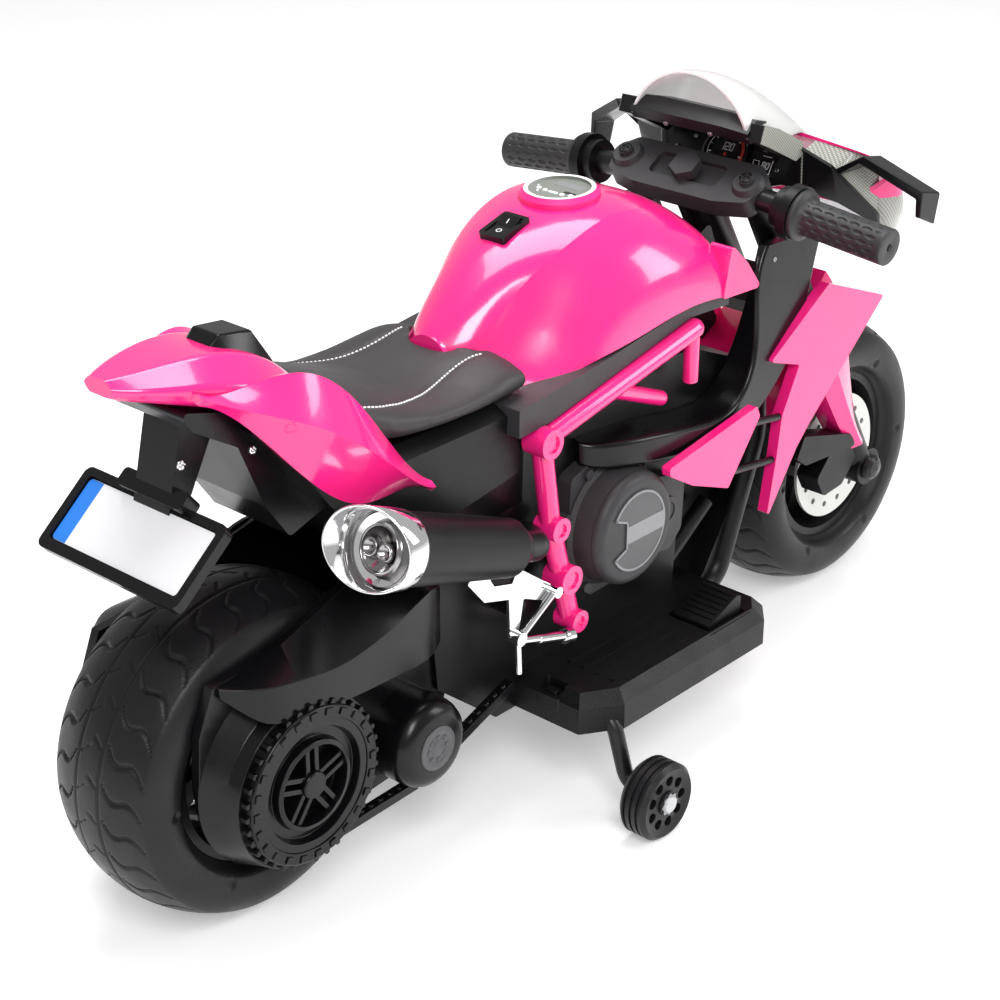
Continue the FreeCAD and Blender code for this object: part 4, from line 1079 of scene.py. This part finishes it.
# A light-grey arc over part of the black bezel's top: a painted highlight
bezel_highlight = Mould()
bezel_highlight.band(dial, 23.0, 24.3, 20, 235, 4.8, 5.35, steps=64)
bezel_highlight.make("gauge_bezel_highlight", light_grey, "disc_silver")

# Readout beside the gauge
READOUT_AT = (245.8, -42.0, 475.4)
READOUT_PRINT = (0.45, 0.7)
READOUT_LINES = [(9.6, -7.4, 10.3, 5.2), (1.0, -8.1, 10.3, -7.4), (-10.5, -2.6, -3.6, -2.0),
                 (-10.5, 2.0, -3.6, 2.6), (-10.5, -2.0, -9.9, 2.0), (-4.2, -2.0, -3.6, 2.0),
                 (-7.5, -6.6, -3.0, -5.0), (-2.0, 7.4, 8.0, 8.4)]
readout = Plane(READOUT_AT, FACE_RIGHT, FACE_UP)
block = Mould()
block.prism(readout, rounded_box(-13.5, -10.5, 13, 11.5, 2.0), -6.0, 0.5)
block.make("readout_block", glass_black, "gloss_black")
lines = Mould()
lines.figures(readout, "80", (3.5, -0.6), 5.6, *READOUT_PRINT)
for corners in READOUT_LINES:
    lines.prism(readout, plain_box(*corners), *READOUT_PRINT)
lines.make("readout_marks", white, "plate_white")

# Tank panel buttons and switch marks
LEAN = math.radians(3.0)
PANEL_FLOOR = 3.5
PANEL_ROOT = PANEL_FLOOR - 0.5
BUTTONS = [(-16.5, -7.5, 2.3), (-8.5, -9.0, 2.3), (10.5, -9.5, 2.3), (18.5, -7.5, 2.5), (-20.5, -3.5, 0.9),
           (-13.0, -13.5, 1.2)]
BUTTON = [(1, -0.5), (1, 0.7), (0.82, 1.15), (0.3, 1.25)]
panel = Plane(PANEL, (0, -1, 0), (math.cos(LEAN), 0, math.sin(LEAN)))
buttons = Mould()
for u, v, radius in BUTTONS:
    buttons.lathe(panel, [(share * radius, PANEL_FLOOR + rise) for share, rise in BUTTON], 24, (u, v))
buttons.prism(panel, rounded_box(-4.0, -11.6, 6.0, -8.0, 1.6), PANEL_ROOT, PANEL_FLOOR + 0.9)
buttons.make("panel_buttons", white, "plate_white")
socket = Mould()
socket.prism(panel, rounded_box(7.5, -4.6, 19.5, -0.8, 0.6), PANEL_ROOT, PANEL_FLOOR + 0.2)
socket.make("panel_slot", glass_black, "gloss_black")
label = Mould()
label.prism(panel, rounded_box(-13, 7, 17, 16, 1.2), PANEL_ROOT, PANEL_FLOOR + 0.15)
label.make("panel_label", light_grey, "badge_grey")

TILT = math.radians(25.0)
PADDLE = [(-12.2, 7.0), (0.0, 4.5), (12.2, 7.0)]
SIGN_PRINT = (-0.3, 0.15)


def on_paddle(x, z):
    """A paddle point, given level and about its pivot, at its rest tilt."""
    return np.array((ROCKER[0] + x * math.cos(TILT) - z * math.sin(TILT), 0.0,
                     ROCKER[2] + x * math.sin(TILT) + z * math.cos(TILT)))


signs = Mould()
rear, middle, front = (on_paddle(*spot) for spot in PADDLE)
off_side = Plane((rear + middle) / 2, (0, -1, 0), middle - rear)
on_side = Plane((middle + front) / 2, (0, -1, 0), front - middle)
signs.band(off_side, 1.9, 2.7, 0, 360, *SIGN_PRINT, steps=32)
signs.prism(on_side, rounded_box(-0.45, -2.4, 0.45, 2.4, 0.4), *SIGN_PRINT)
signs.make("switch_marks", white, "plate_white", body="power_switch")

# Blank plate's coloured end, rounded at the plate's own corners
PLATE_RUN, PLATE_DROP = 55.0, 46.0
STRIP = (-70.8, -61.8, -55.5, -8.2)
slope = np.array((-PLATE_RUN, 0.0, -PLATE_DROP)) / math.hypot(PLATE_RUN, PLATE_DROP)
plate = Plane(PLATE_TOP, (0, -1, 0), -slope)
outer_corners = rounded_box(*STRIP, 3.4)[CORNER_STEPS + 1:3 * (CORNER_STEPS + 1)]
strip = Mould()
strip.prism(plate, outer_corners + [(STRIP[2], STRIP[1]), (STRIP[2], STRIP[3])], -2.6, -2.2)
strip.make("plate_strip", blue, "plate_white")

# Badge border and band
BADGE_R, BADGE_END = 34.6, 149
BADGE_PRINT = (-0.2, 0.35)
BADGE_NOTCH = [[(-31.0, -18.2), (-30.4, -19.9), (-15.4, -13.7), (-16.0, -12.0)],
               [(-16.0, 12.0), (-16.0, -12.0), (-14.2, -12.0), (-14.2, 12.0)],
               [(-16.0, 12.0), (-15.4, 13.7), (-30.4, 19.9), (-31.0, 18.2)]]
BAND_LEFT, BAND_HALF = -14.2, 8.0
badge = Plane(DRUM, (1, 0, 0), (0, 0, 1))
trim = Mould()
trim.band(badge, BADGE_R, 36.4, -BADGE_END, BADGE_END, *BADGE_PRINT, steps=72)
for corners in BADGE_NOTCH:
    trim.prism(badge, corners, *BADGE_PRINT)
edge = math.degrees(math.asin(BAND_HALF / BADGE_R))
right_end = [on_circle(BADGE_R, turn) for turn in np.linspace(-edge, edge, 9)]
trim.prism(badge, [(BAND_LEFT, -BAND_HALF)] + right_end + [(BAND_LEFT, BAND_HALF)], -0.2, 0.3)
trim.mirrored().make("badge_trim", light_grey, "badge_grey")

# Screws, bolts and push-on washers
SCREWS = [((186.9, 24.8, 513.3), (-0.91, 0, -0.41), 2.4), ((247.2, 56.6, 473.0), (-0.88, 0.06, 0.46), 2.4),
          ((253.4, 39.3, 485.2), (-0.87, 0, 0.5), 2.4), ((259.0, -99.6, 470.6), (-0.93, -0.22, -0.28), 2.4),
          ((189.4, -100.3, 413.4), (0, -1, 0), 2.4), ((42.0, -104.0, 219.0), (0, -1, 0), 3.0)]
SCREW_RISE = 1.1
BRACKET_BOLTS = [((-434.3, -20.0, 399.8), 4.2), ((-384.0, -42.0, 402.0), 3.4)]
BOLT_RISE = 2.2
CLAMP_BOLT = (184.0, -68.0, 482.9)
STAR_R, STAR_WAVE, STAR_POINTS, STAR_AROUND = 9.4, 0.9, 8, 48
screws = Mould()
for spot, out, radius in SCREWS:
    screws.cross_head(Plane.facing(spot, out), radius, SCREW_RISE)
screws.mirrored().make("body_screws", bolt, "disc_silver", True)
bolts = Mould()
for spot, radius in BRACKET_BOLTS:
    bolts.cross_head(Plane.facing(spot, (0, -1, 0)), radius, BOLT_RISE)
bolts.mirrored().make("bracket_bolts", chrome, "chrome_plate", True)
caps = Mould()
caps.cross_head(Plane.facing(CLAMP_BOLT, STEER_AXIS), 6.2, 1.6)
caps.mirrored().make("clamp_bolts", satin, "black_plastic", True, "steering")
washers = Mould()
pin_end = Plane.facing((STAB_X, -STAB_OUT - 0.5, STAB_R), (0, -1, 0))
star = [polar(STAR_R + STAR_WAVE * math.cos(STAR_POINTS * turn), turn) for turn in full_turn(STAR_AROUND)]
washers.prism(pin_end, star, -0.2, 0.7)
washers.mirrored().make("push_washers", bolt, "disc_silver")
